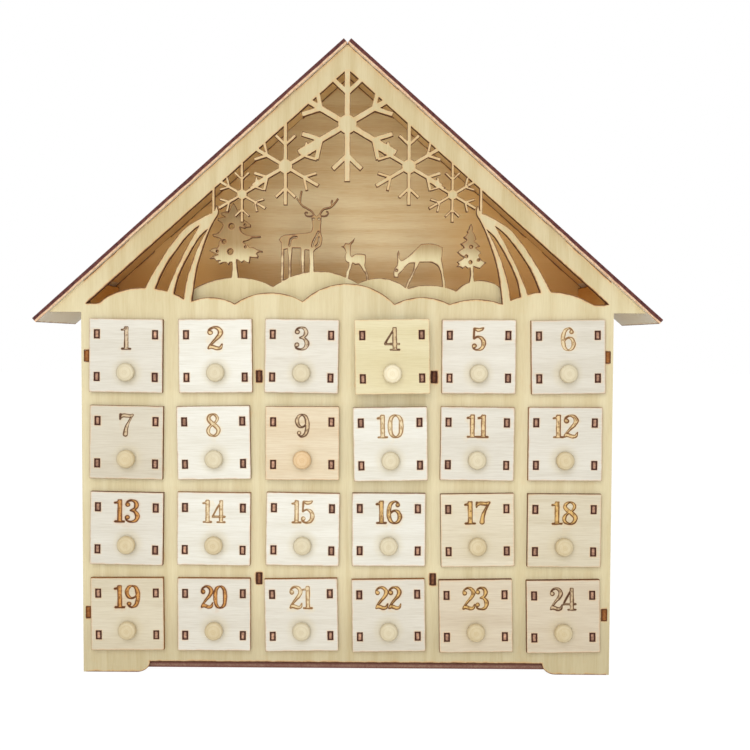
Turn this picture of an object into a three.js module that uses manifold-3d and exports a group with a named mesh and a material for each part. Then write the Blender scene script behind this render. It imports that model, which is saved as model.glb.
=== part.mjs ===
// A plywood advent calendar: a gabled house with a fretwork gable over 24 numbered drawers.
// Millimetres. X runs to the right, Y from the front to the back, Z up.
import * as THREE from 'three';
import { mergeVertices } from 'three/addons/utils/BufferGeometryUtils.js';
import Module from 'manifold-3d';

const wasm = await Module();
wasm.setup();

// Plywood and fits
const sheet = 2.5; // thickness of every board
const glueGap = 0.1; // between glued faces
const slotFit = 0.15; // round a tab in its slot, on each side
const runGap = 0.45; // under a drawer, and behind a closed plate
const drawerFit = 0.95; // between a drawer and the side of its window
const drawerHeadroom = 2.95; // over a drawer in its window
const drawerEndGap = 4.95; // behind a closed drawer

// Drawers
const columns = 6;
const rows = 4;
const pitchX = 41.65;
const pitchZ = 41.2;
const plateSize = 34.8;
const plateLap = 1.4; // how far a plate covers the front beyond its window
const plateTabHeight = 4; // tabs of a drawer's sides, seen in its plate
const plateTabEdge = 5.3; // from a plate's top or bottom edge to a tab
const standOut = { 4: 7, 9: 1, 10: 3 }; // drawers that are not pushed home

// How far a loose drawer stands to the right in its window, and the degrees it is turned clockwise
const askew = {
  1: [-0.4, 0.7], 2: [0.4, -0.5], 3: [-0.4, 0.8], 4: [0.5, -1], 6: [0.5, -1],
  7: [-0.4, 0.9], 8: [-0.5, -1], 10: [0, -1], 11: [-0.4, 0.5], 12: [-0.5, 0],
  13: [-0.5, 1], 14: [-0.5, 0.5], 15: [0.2, 0.8], 16: [-0.5, 0], 17: [0, -1], 18: [-0.5, 0],
  19: [-0.4, -0.4], 20: [-0.5, 0], 21: [-0.4, -1], 22: [-0.4, -1], 23: [-0.5, -1], 24: [-0.5, -1],
};

// Knobs
const knobDiameter = 8.7;
const knobReach = 7;
const knobNeck = 5; // diameter of the neck
const knobFlare = 1.6; // length of the neck
const knobDrop = 8; // from a plate's centre to its knob

// House
const houseHeight = 300;
const houseDepth = 60;
const roofSlope = THREE.MathUtils.degToRad(41.3);
const roofBoardLength = 196.5;
const roofOverhang = 2;
const roofTabLength = 12;
const roofTabs = [38, 132]; // from the ridge to a tab, along the slope
const footHeight = 5.2;
const footWidth = 25.7;
const footCurve = 6.5;
const baseLift = 1.6; // clear height under the base board
const baseRail = 6.45; // front panel below the lowest plates
const sideRail = 4.95; // beside the outer plates
const topRail = 3.3; // above the upper plates, up to the eaves
const wallInset = 1.3; // side wall in from the front panel's edge
const frameBand = 8.7; // band along the roof around the gable window
const sillRise = 4.1; // from the eaves to the gable window's lower edge
const throughTab = 5.1; // height of the tabs seen in the front panel
const wallTabLow = 29; // height of the walls' lower tabs
const wallTabDrop = 20.85; // from the eaves down to the walls' upper tabs
const dividerTabLow = 45.9;
const dividerTabDrop = 30.45;
const shelfTab = 9; // length of the shelves' tabs in the side walls
const shelfTabInset = 9; // from a shelf's front and back edges to a tab

// The gable's figures are drawn in units of this length
const figureUnit = 1;

// Gable window: six-armed flakes hang below the roof band
const flakes = inUnits([
  { x: 0, drop: 25.3, reach: 26.6, arm: 2.75, hub: 4.5, fork: 14.4, twig: 9.4, twigWidth: 2.2 },
  { x: 29.2, drop: 19.2, reach: 18, arm: 1.8, hub: 3.4, fork: 10, twig: 6.4, twigWidth: 1.4 },
  { x: 49.8, drop: 14.2, reach: 12.8, arm: 1.3, hub: 2.4, fork: 7, twig: 4.6, twigWidth: 1 },
]);
const twigAngle = THREE.MathUtils.degToRad(47);
const armLap = 1.5; // how far the upper arm runs into the band

// Leaves where the arms of neighbouring flakes meet, outwards and up from the inner flake's hub
const leaves = inUnits([
  [[23, -13.6], [21, -12.2], [18.8, -10.6], [18.4, -8.8], [16, -9.6], [12.8, -8.1], [12.6, -11.1], [15.5, -12.4],
    [17.5, -14], [20.8, -15.1]],
  [[17.3, -9.9], [14.7, -8.3], [13.6, -5.9], [12.3, -6.5], [9.5, -4.3], [8.4, -5.9], [11.4, -8.5], [13.2, -9.9],
    [15.6, -10.4]],
]);

// Clouds along the sill: where their scallops meet, and the height of each in its middle
const cloudValleys = inUnits([[-118.9, 0], [-75, 0.6], [-53.3, 0], [-21, 1.2], [22.7, 0], [48.8, 0], [74.2, 0], [117.1, 0]]);
const cloudPeaks = inUnits([7.5, 2.9, 5.2, 9.5, 3.2, 2.3, 5.9]);

// Comet outline, right-hand one, from its tip round its three tails; Z from the sill
const cometTip = inUnits([[61.9, 46], [62.9, 42.6], [65.4, 41.8]]);
const cometTails = inUnits([
  { outer: [[65.4, 41.8], [76.7, 35.2], [87, 22.6], [96.7, 6.1], [98.2, 2]], inner: [[92.1, 2], [91.3, 6.4], [85.9, 18], [75.7, 31.7], [70.1, 36.4]] },
  { outer: [[70.1, 36.4], [78.8, 21], [85.2, 6.4], [86.2, 2]], inner: [[82.6, 2], [79.8, 13.5], [71.1, 29.6], [66.2, 34.7]] },
  { outer: [[66.2, 34.7], [71.1, 25.6], [76.2, 10.9], [78, -1]], inner: [[73.9, -1], [71.1, 17.5], [64.9, 35.2], [61.4, 41.5], [61.2, 44]] },
]);

// A comet hangs from the roof band by its stem
const cometStem = inUnits({ x: 63.3, width: 1.3 });

// Scene behind the window: hills with their valleys and peaks; Z from the sill
const sceneSetback = 8; // from the front panel's back face
const hillValleys = inUnits([[-76.5, 6.3], [-35.8, 8.7], [5.4, 10.2], [29, 7.8], [52.9, 6.8], [75.8, 7.1]]);
const hillPeaks = inUnits([12.9, 16, 12.7, 9.4, 11.9]);
const sceneTab = 10;
const sceneTabs = [-52, 0, 52];

const stag = inUnits({
  body: [[-33.2, 30.9], [-32.1, 32.4], [-30.6, 33.2], [-27.8, 33.6], [-22.6, 34], [-19.1, 34.3], [-17.4, 35],
    [-16.9, 37.1], [-17.1, 39.5], [-17.5, 41.6], [-16.6, 42.6], [-15.7, 43], [-14.9, 42.2], [-14.1, 43], [-13.2, 43.1],
    [-12.5, 42.3], [-12.6, 40.2], [-12.8, 37.1], [-12.7, 34.3], [-12.1, 32.3], [-12.3, 29.9], [-12.9, 28.1],
    [-14.3, 27.1], [-15.5, 26.3], [-16.3, 25.4], [-16.2, 20.5], [-15.9, 14.7], [-18.4, 14.7], [-18.3, 20.5],
    [-18.5, 26.1], [-20.5, 26.2], [-20.7, 21.9], [-20.9, 13.3], [-21.9, 13.3], [-22.3, 19.1], [-22.6, 27.1],
    [-26.6, 27.1], [-27.1, 21.9], [-27.3, 11], [-28.5, 11], [-28.6, 21.9], [-29, 26.7], [-30.7, 26.4], [-30.8, 19.1],
    [-31, 9], [-32.2, 9], [-32.1, 21.9], [-32, 29.5], [-32.5, 30]],
  antlers: [
    [[-16, 42.6], [-17.1, 44.5], [-18.5, 45.4], [-20.2, 46.4], [-21.8, 47.3], [-23.1, 48.9], [-24.4, 50.8]],
    [[-22.9, 48.6], [-22.7, 51.5], [-22.2, 54.3]],
    [[-13.4, 42.9], [-12.6, 44.5], [-11.7, 45.5], [-10.7, 46], [-8.8, 46.3], [-7.1, 47.4], [-5.7, 49], [-4.5, 50.7]],
    [[-7.3, 47.1], [-7.7, 48.7], [-7.2, 49.9]],
  ],
  antlerWidth: 0.8,
  ears: [
    [[-16.6, 42.6], [-18.6, 42.2], [-20.2, 42.8], [-20.6, 44], [-19.2, 44.1]],
    [[-12.9, 42.6], [-11.5, 42.3], [-9.8, 42.8], [-9.1, 44.2], [-10.2, 44.6]],
  ],
  earWidth: 0.6,
  slots: [
    [[-14, 34.9], [-15.3, 32.3], [-16.4, 30.2], [-17.1, 27.6]],
    [[-13.7, 32.3], [-13.8, 30.2], [-14.5, 28.6], [-15.5, 27.8]],
    [[-24.2, 32.3], [-26.1, 32.1], [-27.4, 31.3], [-27.8, 29.5], [-28.2, 28]],
  ],
  slotWidth: 0.6,
  eyes: [[-16.4, 40.9, 0.6], [-13.7, 40.9, 0.6]],
});

const fawn = inUnits([[-2.9, 27.8], [-1.7, 28.1], [-1, 29.5], [0.7, 29.2], [2.6, 30.7], [3.7, 31.9], [3, 30], [2.1, 29],
  [1.8, 26.2], [1.8, 23.8], [2.3, 23.1], [3.5, 24], [6.6, 24.4], [8.9, 24], [9.2, 23.2], [9, 20.4], [8.7, 18.7],
  [9.3, 16.9], [10.3, 14.2], [10.7, 9], [9.5, 9], [9.1, 14.5], [7.7, 16.6], [6.7, 18.3], [5.6, 19.5], [3.9, 19.2],
  [2.7, 20], [2.2, 18.3], [1.3, 16.2], [0.3, 9], [-1, 9], [-0.6, 14.9], [0.6, 18], [0.8, 20], [-0.6, 20.9],
  [-1.1, 22.4], [-1, 23.8], [-0.6, 24.9], [-1.2, 26.6], [-1.7, 27.3]]);

const doe = inUnits([[25, 26.1], [25.3, 24.9], [25.2, 22.5], [26.2, 21.1], [28.1, 22], [31.5, 24.9], [34, 27.3],
  [35.8, 29.1], [40.5, 29.3], [43.6, 28.7], [46.2, 27.5], [46.2, 25], [45.9, 21.5], [46.4, 19.1], [46.8, 14.6],
  [47.5, 11.2], [47.7, 6], [46.4, 6], [46.2, 11.2], [45.3, 16], [44.2, 18.4], [41.6, 20.1], [35.4, 20.5],
  [34.1, 18], [32.8, 15.6], [31.8, 13.2], [30.1, 9.7], [28.8, 5], [27.4, 5], [28.9, 10.1], [30.4, 13.2],
  [32.1, 16.7], [32.6, 20.1], [30.2, 19.8], [28.1, 18], [26.4, 16], [25, 14.6], [24.9, 13.2], [22.8, 13.2],
  [22.6, 15.9], [23.3, 18], [24, 18.7], [24.5, 20.8], [24.3, 23.2], [24.5, 25.3]]);
const doeEye = inUnits([24, 16.5, 0.45]);

const trees = inUnits([
  {
    right: [[-55.1, 48.4], [-53.9, 46.3], [-52.8, 43.9], [-51.4, 41.8], [-50, 40.5], [-48.3, 39.4], [-46.8, 38.2],
      [-46.9, 37], [-48.7, 36.9], [-50, 36.3], [-52.1, 37], [-51.7, 35.5], [-50.1, 33.9], [-48, 33.1], [-42.1, 32.8],
      [-42.1, 32.1], [-46.3, 31.9], [-47.3, 31.2], [-48.7, 30.6], [-50.2, 30.3], [-50.6, 29.7], [-48.7, 28.6],
      [-47.3, 27.5], [-45.2, 27.2], [-43.6, 26.3], [-41.2, 25.7], [-41.2, 25], [-42.9, 25.1], [-44, 24.4],
      [-43.1, 23.4], [-43.5, 22.2], [-45.2, 22.4], [-47.1, 22.7], [-47.5, 19.8], [-49, 20.3], [-50.1, 21],
      [-51.5, 20.1], [-52.5, 21], [-53.7, 21.5], [-53.5, 18], [-52.5, 9]],
    left: [[-56.7, 9], [-55.8, 18], [-55.9, 20.3], [-57, 20.3], [-57.7, 18.9], [-58.7, 20.1], [-60.5, 20.1],
      [-62, 19.2], [-62.9, 20.3], [-61.5, 21.1], [-63.6, 20.8], [-64.6, 22], [-66.9, 21.8], [-65.3, 23],
      [-62.7, 23.7], [-64.3, 24.4], [-66.9, 25.6], [-65.7, 26.5], [-62.9, 27.2], [-62.5, 28], [-62.2, 30.1],
      [-61.2, 31.1], [-62.2, 31.7], [-65, 32.5], [-65.3, 33.5], [-62.9, 34.1], [-61.5, 35.4], [-60.3, 37.7],
      [-60.8, 39.1], [-62.9, 40.1], [-62.7, 41.1], [-60.8, 41.5], [-59.1, 41.8], [-61.1, 42.9], [-61.3, 43.7],
      [-59.4, 44.1], [-57.7, 43.9], [-56.6, 46], [-55.9, 47.3]],
    holes: [[-56.1, 37.4, 1.3], [-59.8, 30.1, 0.9], [-56.7, 25.3, 1.3], [-63.1, 25.4, 0.5], [-49.4, 27.6, 0.5],
      [-49.6, 38, 0.5]],
  },
  {
    right: [[60, 38.8], [60.8, 36.6], [60.6, 35.2], [61.6, 33.8], [62.5, 31.4], [61.5, 30.4], [62.9, 29.3],
      [64.3, 28.1], [62.2, 27.3], [63.6, 26.2], [64.8, 24.9], [63.6, 23.8], [64.3, 22.5], [66.1, 20.9], [67.4, 20.2],
      [66.1, 19.2], [65.6, 18.7], [64.4, 17.5], [62.6, 18.1], [61.3, 18.5], [61.4, 13.1], [62.3, 9]],
    left: [[58.8, 9], [59.7, 13.1], [59.7, 17.8], [58.5, 17.6], [57.4, 18.5], [56.1, 17.4], [55.2, 18.1], [53, 18.3],
      [54.3, 19.5], [53.3, 20.7], [55.3, 21.7], [56.7, 22.8], [55, 23.8], [53.4, 25.4], [55.3, 26.6], [56.7, 27.4],
      [56, 28.3], [54.8, 29.3], [56.7, 30.2], [57.9, 31.1], [56.3, 32.4], [57.3, 33.1], [58.5, 34.5], [58, 35.2],
      [59, 36.6], [59.2, 37.6]],
    holes: [[60.1, 27.8, 0.7], [57.8, 23.3, 0.6], [59.7, 20.4, 0.8], [63.6, 21.6, 0.5]],
  },
]);

// Sizes that follow from the ones above
const windowSize = plateSize - 2 * plateLap;
const drawerWidth = windowSize - 2 * drawerFit;
const drawerHeight = windowSize - runGap - drawerHeadroom;
const bodyHalf = ((columns - 1) * pitchX + plateSize) / 2 + sideRail;
const wallOuter = bodyHalf - wallInset;
const wallInner = wallOuter - sheet;
const eaveZ = footHeight + baseRail + (rows - 1) * pitchZ + plateSize + topRail;
const sillZ = eaveZ + sillRise;
const atticTop = eaveZ;
const slopeRise = Math.tan(roofSlope);
const slopeRun = Math.cos(roofSlope);
const ridgeZ = houseHeight - sheet * slopeRun; // inner edges of the two roof boards
const panelPeak = ridgeZ - glueGap / slopeRun;
const windowPeak = panelPeak - frameBand / slopeRun;
const plateBack = -runGap;
const backFront = houseDepth - sheet; // front face of the back panel
const drawerLength = backFront - drawerEndGap - plateBack;
const sceneFront = sheet + sceneSetback;
const knobTipY = plateBack - sheet - knobReach - Math.max(...Object.values(standOut));
const centreY = (knobTipY + houseDepth + roofOverhang) / 2;
const shelfHalf = wallInner - glueGap;
const wallTabs = [wallTabLow, eaveZ - wallTabDrop];
const dividerTabs = [dividerTabLow, eaveZ - dividerTabDrop];

// Numbers, lists and tables of lengths in figure units, turned into millimetres
function inUnits(value) {
  if (typeof value === 'number') return value * figureUnit;
  if (Array.isArray(value)) return value.map(inUnits);
  return Object.fromEntries(Object.entries(value).map(([name, part]) => [name, inUnits(part)]));
}

function columnX(column) {
  return (column - (columns - 1) / 2) * pitchX;
}

function rowZ(row) {
  return footHeight + baseRail + plateSize / 2 + (rows - 1 - row) * pitchZ;
}

// Top of the shelf that carries a row of drawers
function shelfTop(row) {
  return rowZ(row) - windowSize / 2;
}

// Underside of the roof above a place across the house
function roofUnderside(x) {
  return ridgeZ - Math.abs(x) * slopeRise;
}

// Edge of the gable window above a place across the house
function windowEdge(x) {
  return windowPeak - Math.abs(x) * slopeRise;
}

function points(pairs) {
  return pairs.map(([x, y]) => new THREE.Vector2(x, y));
}

function outline(pairs) {
  return new THREE.Shape(points(pairs));
}

function rectangle(x0, y0, x1, y1) {
  return outline([[x0, y0], [x1, y0], [x1, y1], [x0, y1]]);
}

function smooth(pairs, steps) {
  return new THREE.SplineCurve(points(pairs)).getPoints(steps);
}

// A strip of one width along a line of points
function strip(line, width) {
  const sides = [[], []];
  line.forEach((point, i) => {
    const before = line[Math.max(i - 1, 0)];
    const after = line[Math.min(i + 1, line.length - 1)];
    const along = after.clone().sub(before).normalize();
    const across = new THREE.Vector2(-along.y, along.x).multiplyScalar(width / 2);
    sides[0].push(point.clone().add(across));
    sides[1].unshift(point.clone().sub(across));
  });
  return new THREE.Shape([...sides[0], ...sides[1]]);
}

function circle(x, y, radius, steps) {
  const ring = new THREE.Path().absarc(x, y, radius, 0, 2 * Math.PI, false).getPoints(steps);
  return new THREE.Shape(ring.slice(0, -1));
}

// Points of a circular arc over a chord, raised to a peak at mid chord
function arch(start, end, peak, steps) {
  const chord = new THREE.Vector2(end[0] - start[0], end[1] - start[1]);
  const half = chord.length() / 2;
  const rise = peak - (start[1] + end[1]) / 2;
  const radius = (half * half + rise * rise) / (2 * rise);
  const reach = Math.asin(half / radius);
  const tilt = Math.atan2(chord.y, chord.x);
  const pairs = [];
  for (let i = 0; i <= steps; i += 1) {
    const angle = reach * (2 * i / steps - 1);
    const u = radius * Math.sin(angle);
    const v = radius * (Math.cos(angle) - 1) + rise;
    const middle = [(start[0] + end[0]) / 2, (start[1] + end[1]) / 2];
    pairs.push([middle[0] + u * Math.cos(tilt) - v * Math.sin(tilt), middle[1] + u * Math.sin(tilt) + v * Math.cos(tilt)]);
  }
  return pairs;
}

// Boards cut from an outline: upright across the house, lengthways, and level
function boardAcross(shape, front, depth) {
  const geometry = new THREE.ExtrudeGeometry(shape, { depth, bevelEnabled: false, curveSegments: 8 });
  geometry.rotateX(Math.PI / 2);
  return geometry.translate(0, front + depth, 0);
}

function boardLengthways(shape, left, depth) {
  const geometry = new THREE.ExtrudeGeometry(shape, { depth, bevelEnabled: false, curveSegments: 8 });
  const turn = new THREE.Matrix4().set(0, 0, 1, left, 1, 0, 0, 0, 0, 1, 0, 0, 0, 0, 0, 1);
  return geometry.applyMatrix4(turn);
}

function boardLevel(shape, bottom, depth) {
  const geometry = new THREE.ExtrudeGeometry(shape, { depth, bevelEnabled: false, curveSegments: 8 });
  return geometry.translate(0, 0, bottom);
}

// Closed geometry to solid and back, for joins and cuts
function solid(geometry) {
  const bare = geometry.clone();
  bare.deleteAttribute('normal');
  bare.deleteAttribute('uv');
  const merged = mergeVertices(bare, 1e-4);
  const index = merged.index.array;
  const triVerts = [];
  for (let i = 0; i < index.length; i += 3) {
    const [a, b, c] = [index[i], index[i + 1], index[i + 2]];
    if (a !== b && b !== c && c !== a) triVerts.push(a, b, c);
  }
  const vertProperties = new Float32Array(merged.attributes.position.array);
  return new wasm.Manifold(new wasm.Mesh({ numProp: 3, vertProperties, triVerts: new Uint32Array(triVerts) }));
}

function joined(geometries) {
  return geometries.map(solid).reduce((sum, piece) => sum.add(piece));
}

function cut(body, geometries) {
  return geometries.map(solid).reduce((rest, piece) => rest.subtract(piece), body);
}

function geometryOf(manifold) {
  const { vertProperties, triVerts } = manifold.getMesh();
  const geometry = new THREE.BufferGeometry();
  geometry.setAttribute('position', new THREE.BufferAttribute(new Float32Array(vertProperties), 3));
  geometry.setIndex(new THREE.BufferAttribute(new Uint32Array(triVerts), 1));
  return geometry;
}

// A rectangle set along one side of the roof, measured from the ridge and outwards from the underside
function roofRectangle(side, from, to, low, high) {
  const corners = [[from, low], [to, low], [to, high], [from, high]];
  return outline(corners.map(([along, out]) => [
    side * (along * Math.cos(roofSlope) + out * Math.sin(roofSlope)),
    ridgeZ - along * Math.sin(roofSlope) + out * Math.cos(roofSlope),
  ]));
}

// House outline of the front and back panels, with feet and the tabs that pass through the roof
function housePanel(front) {
  const footEnd = bodyHalf - footWidth;
  const archEnd = footEnd - footCurve;
  const eaveX = (panelPeak - eaveZ) / slopeRise;
  const shape = new THREE.Shape();
  shape.moveTo(-bodyHalf, 0);
  shape.lineTo(-footEnd, 0);
  shape.absellipse(-footEnd, footHeight, footCurve, footHeight, -Math.PI / 2, 0, false, 0);
  shape.lineTo(archEnd, footHeight);
  shape.absellipse(footEnd, footHeight, footCurve, footHeight, Math.PI, 1.5 * Math.PI, false, 0);
  shape.lineTo(bodyHalf, 0);
  shape.lineTo(bodyHalf, eaveZ);
  shape.lineTo(eaveX, eaveZ);
  shape.lineTo(0, panelPeak);
  shape.lineTo(-eaveX, eaveZ);
  shape.lineTo(-bodyHalf, eaveZ);
  const pieces = [boardAcross(shape, front, sheet)];
  const slots = [];
  for (const side of [-1, 1]) {
    for (const along of roofTabs) {
      const tab = roofRectangle(side, along - roofTabLength / 2, along + roofTabLength / 2, -sheet, sheet);
      pieces.push(boardAcross(tab, front, sheet));
    }
    for (const z of wallTabs) slots.push(slotAcross(side * (wallOuter - sheet / 2), z));
    for (const z of dividerTabs) slots.push(slotAcross(side * pitchX, z));
  }
  return cut(joined(pieces), slots.map((slot) => boardAcross(slot, front - 1, sheet + 2)));
}

// Slot for a board's through tab
function slotAcross(x, z) {
  const halfWidth = sheet / 2 + slotFit;
  const halfHeight = throughTab / 2 + slotFit;
  return rectangle(x - halfWidth, z - halfHeight, x + halfWidth, z + halfHeight);
}

// Six arms with a hub and a pair of twigs on each; the upper arm hangs in the roof band
function flakeGeometries(flake, side) {
  const x = side * flake.x;
  const z = windowEdge(flake.x) - flake.drop;
  const bars = [];
  for (let i = 0; i < 6; i += 1) {
    const angle = Math.PI / 2 + i * Math.PI / 3;
    const reach = i === 0 ? flake.drop + armLap : flake.reach;
    bars.push([x, z, angle, reach, flake.arm]);
    const forkX = x + flake.fork * Math.cos(angle);
    const forkZ = z + flake.fork * Math.sin(angle);
    for (const turn of [-twigAngle, twigAngle]) bars.push([forkX, forkZ, angle + turn, flake.twig, flake.twigWidth]);
  }
  const shapes = bars.map(([startX, startZ, angle, length, width]) => strip(points([
    [startX, startZ],
    [startX + length * Math.cos(angle), startZ + length * Math.sin(angle)],
  ]), width));
  return [circle(x, z, flake.hub, 14), ...shapes].map((shape) => boardAcross(shape, 0, sheet));
}

function leafGeometry(flake, leaf, side) {
  const hubZ = windowEdge(flake.x) - flake.drop;
  return boardAcross(outline(leaf.map(([x, z]) => [side * (flake.x + x), hubZ + z])), 0, sheet);
}

function cometGeometry(side) {
  const line = [...points(cometTip).slice(0, -1)];
  for (const tail of cometTails) {
    line.push(...smooth(tail.outer, 8));
    line.push(...smooth(tail.inner, 8));
  }
  const shape = new THREE.Shape(line.map((point) => new THREE.Vector2(side * point.x, sillZ + point.y)));
  return boardAcross(shape, 0, sheet);
}

// A row of arcs over the valleys between them, closed along a level foot
function scallops(valleys, peaks, foot) {
  const pairs = [[valleys[0][0], foot]];
  peaks.forEach((peak, i) => pairs.push(...arch(valleys[i], valleys[i + 1], peak, 8).slice(0, -1)));
  const last = valleys[valleys.length - 1];
  pairs.push(last, [last[0], foot]);
  return lifted(outline(pairs));
}

function cometStemGeometry(side) {
  const [left, right] = [-1, 1].map((end) => side * cometStem.x + end * cometStem.width / 2);
  const top = windowEdge(cometStem.x) + armLap;
  return boardAcross(rectangle(left, sillZ + cometTip[2][1], right, top), 0, sheet);
}

function frontPanel() {
  const half = (windowPeak - sillZ) / slopeRise;
  const openings = [boardAcross(outline([[-half, sillZ], [half, sillZ], [0, windowPeak]]), -1, sheet + 2)];
  for (let row = 0; row < rows; row += 1) {
    for (let column = 0; column < columns; column += 1) {
      const [x, z, r] = [columnX(column), rowZ(row), windowSize / 2];
      openings.push(boardAcross(rectangle(x - r, z - r, x + r, z + r), -1, sheet + 2));
    }
  }
  const clouds = boardAcross(scallops(cloudValleys, cloudPeaks, -1), 0, sheet);
  const fretwork = [clouds, ...flakeGeometries(flakes[0], 1)];
  for (const side of [-1, 1]) fretwork.push(cometGeometry(side), cometStemGeometry(side));
  for (const flake of flakes.slice(1)) fretwork.push(...flakeGeometries(flake, -1), ...flakeGeometries(flake, 1));
  leaves.forEach((leaf, i) => fretwork.push(leafGeometry(flakes[i], leaf, -1), leafGeometry(flakes[i], leaf, 1)));
  return geometryOf(cut(housePanel(0), openings).add(joined(fretwork)));
}

function backPanel() {
  return geometryOf(housePanel(backFront));
}

function stagGeometries(front) {
  const lines = stag.antlers.map((antler) => [smooth(antler, 8), stag.antlerWidth]);
  for (const ear of stag.ears) lines.push([smooth(ear, 6), stag.earWidth]);
  return [lifted(outline(stag.body)), ...lines.map(([line, width]) => lifted(strip(line, width)))]
    .map((shape) => boardAcross(shape, front, sheet));
}

// Moves an outline drawn from the sill up to its height
function lifted(shape) {
  return new THREE.Shape(shape.getPoints().map((point) => new THREE.Vector2(point.x, sillZ + point.y)));
}

function scenePanel() {
  const hills = scallops(hillValleys, hillPeaks, atticTop + glueGap - sillZ);
  const pieces = [hills, lifted(outline(fawn)), lifted(outline(doe))];
  for (const tree of trees) pieces.push(lifted(outline([...tree.right, ...tree.left])));
  for (const x of sceneTabs) pieces.push(rectangle(x - sceneTab / 2, atticTop - sheet, x + sceneTab / 2, sillZ));
  const geometries = pieces.map((shape) => boardAcross(shape, sceneFront, sheet));
  const dots = [...trees.flatMap((tree) => tree.holes), ...stag.eyes, doeEye];
  const holes = dots.map(([x, z, radius]) => lifted(circle(x, z, radius, 6)));
  for (const slot of stag.slots) holes.push(lifted(strip(points(slot), stag.slotWidth)));
  const panel = joined([...geometries, ...stagGeometries(sceneFront)]);
  return geometryOf(cut(panel, holes.map((hole) => boardAcross(hole, sceneFront - 1, sheet + 2))));
}

// Heights of the level boards that tab into the side walls: shelves and attic floor
function levelBottoms() {
  const bottoms = [];
  for (let row = 0; row < rows; row += 1) bottoms.push(shelfTop(row) - sheet);
  bottoms.push(atticTop - sheet);
  return bottoms;
}

// Front and back ends of the tabs on a level board's sides
function shelfTabSpans() {
  const [front, back] = [sheet + glueGap + shelfTabInset, backFront - glueGap - shelfTabInset];
  return [[front, front + shelfTab], [back - shelfTab, back]];
}

// Outline of a tab on an upright edge, from the edge out to the tip and back
function tabOutline(edge, tip, centre, height) {
  const [low, high] = [centre - height / 2, centre + height / 2];
  return [[edge, low], [tip, low], [tip, high], [edge, high]];
}

// Lengthways boards run between the panels, with tabs out through both
function lengthwaysBoard(left, bottom, top, tabs) {
  const [front, back] = [sheet + glueGap, backFront - glueGap];
  const backTabs = tabs.flatMap((z) => tabOutline(back, houseDepth, z, throughTab));
  const frontTabs = tabs.flatMap((z) => tabOutline(front, 0, z, throughTab)).reverse();
  const shape = outline([[front, bottom], [back, bottom], ...backTabs, [back, top], [front, top], ...frontTabs]);
  return solid(boardLengthways(shape, left, sheet));
}

function sideWall(side) {
  const left = side > 0 ? wallInner : -wallOuter;
  const top = roofUnderside(wallOuter) - glueGap / slopeRun;
  const slots = [];
  for (const bottom of levelBottoms()) {
    for (const [front, back] of shelfTabSpans()) {
      const slot = rectangle(front - slotFit, bottom - slotFit, back + slotFit, bottom + sheet + slotFit);
      slots.push(boardLengthways(slot, left - 1, sheet + 2));
    }
  }
  return geometryOf(cut(lengthwaysBoard(left, 0, top, wallTabs), slots));
}

// Main dividers slide onto the shelves from the front: their notches open to the back
function mainDivider(side) {
  const left = side * pitchX - sheet / 2;
  const bottom = shelfTop(rows - 1) + glueGap;
  const top = atticTop - sheet - glueGap;
  const notches = [];
  for (let row = 0; row < rows - 1; row += 1) {
    const low = shelfTop(row) - sheet - slotFit;
    const notch = rectangle(houseDepth / 2 - slotFit, low, backFront, low + sheet + 2 * slotFit);
    notches.push(boardLengthways(notch, left - 1, sheet + 2));
  }
  return geometryOf(cut(lengthwaysBoard(left, bottom, top, dividerTabs), notches));
}

function levelGeometries(bottom) {
  const pieces = [rectangle(-shelfHalf, sheet + glueGap, shelfHalf, backFront - glueGap)];
  for (const [front, back] of shelfTabSpans()) pieces.push(rectangle(-wallOuter, front, wallOuter, back));
  return pieces.map((shape) => boardLevel(shape, bottom, sheet));
}

// Four shelves crossed by the minor dividers; the upper three are notched for the main dividers
function drawerGrid() {
  const pieces = [];
  for (let row = 0; row < rows; row += 1) pieces.push(...levelGeometries(shelfTop(row) - sheet));
  const [bottom, top] = [shelfTop(rows - 1) + glueGap, atticTop - sheet - glueGap];
  const shape = rectangle(sheet + glueGap, bottom - sheet / 2, backFront - glueGap, top);
  for (const x of [-2 * pitchX, 0, 2 * pitchX]) pieces.push(boardLengthways(shape, x - sheet / 2, sheet));
  const notches = [-pitchX, pitchX].map((x) => {
    const half = sheet / 2 + slotFit;
    return boardLevel(rectangle(x - half, 0, x + half, houseDepth / 2 + slotFit), bottom, top - bottom);
  });
  return geometryOf(cut(joined(pieces), notches));
}

// Base board, low between the feet and glued to the panels and walls around it
function baseBoard() {
  const shape = rectangle(-shelfHalf, sheet + glueGap, shelfHalf, backFront - glueGap);
  return geometryOf(solid(boardLevel(shape, baseLift, sheet)));
}

// Attic floor, slotted for the scene's tabs
function atticFloor() {
  const slots = sceneTabs.map((x) => {
    const half = sceneTab / 2 + slotFit;
    const slot = rectangle(x - half, sceneFront - slotFit, x + half, sceneFront + sheet + slotFit);
    return boardLevel(slot, atticTop - sheet - 1, sheet + 2);
  });
  return geometryOf(cut(joined(levelGeometries(atticTop - sheet)), slots));
}

// Roof boards meet at their inner edges, which leaves a small groove along the ridge
function roofBoard(side) {
  const depth = houseDepth + 2 * roofOverhang;
  const board = boardAcross(roofRectangle(side, glueGap, roofBoardLength, 0, sheet), -roofOverhang, depth);
  const slots = [];
  for (const front of [0, backFront]) {
    for (const along of roofTabs) {
      const half = roofTabLength / 2 + slotFit;
      const slot = roofRectangle(side, along - half, along + half, -1, sheet + 1);
      slots.push(boardAcross(slot, front - slotFit, sheet + 2 * slotFit));
    }
  }
  return geometryOf(cut(solid(board), slots));
}

// Places of the side boards' tabs in a plate, from the plate's centre
function plateTabCentres() {
  const z = plateSize / 2 - plateTabEdge - plateTabHeight / 2;
  return [-z, z];
}

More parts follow.
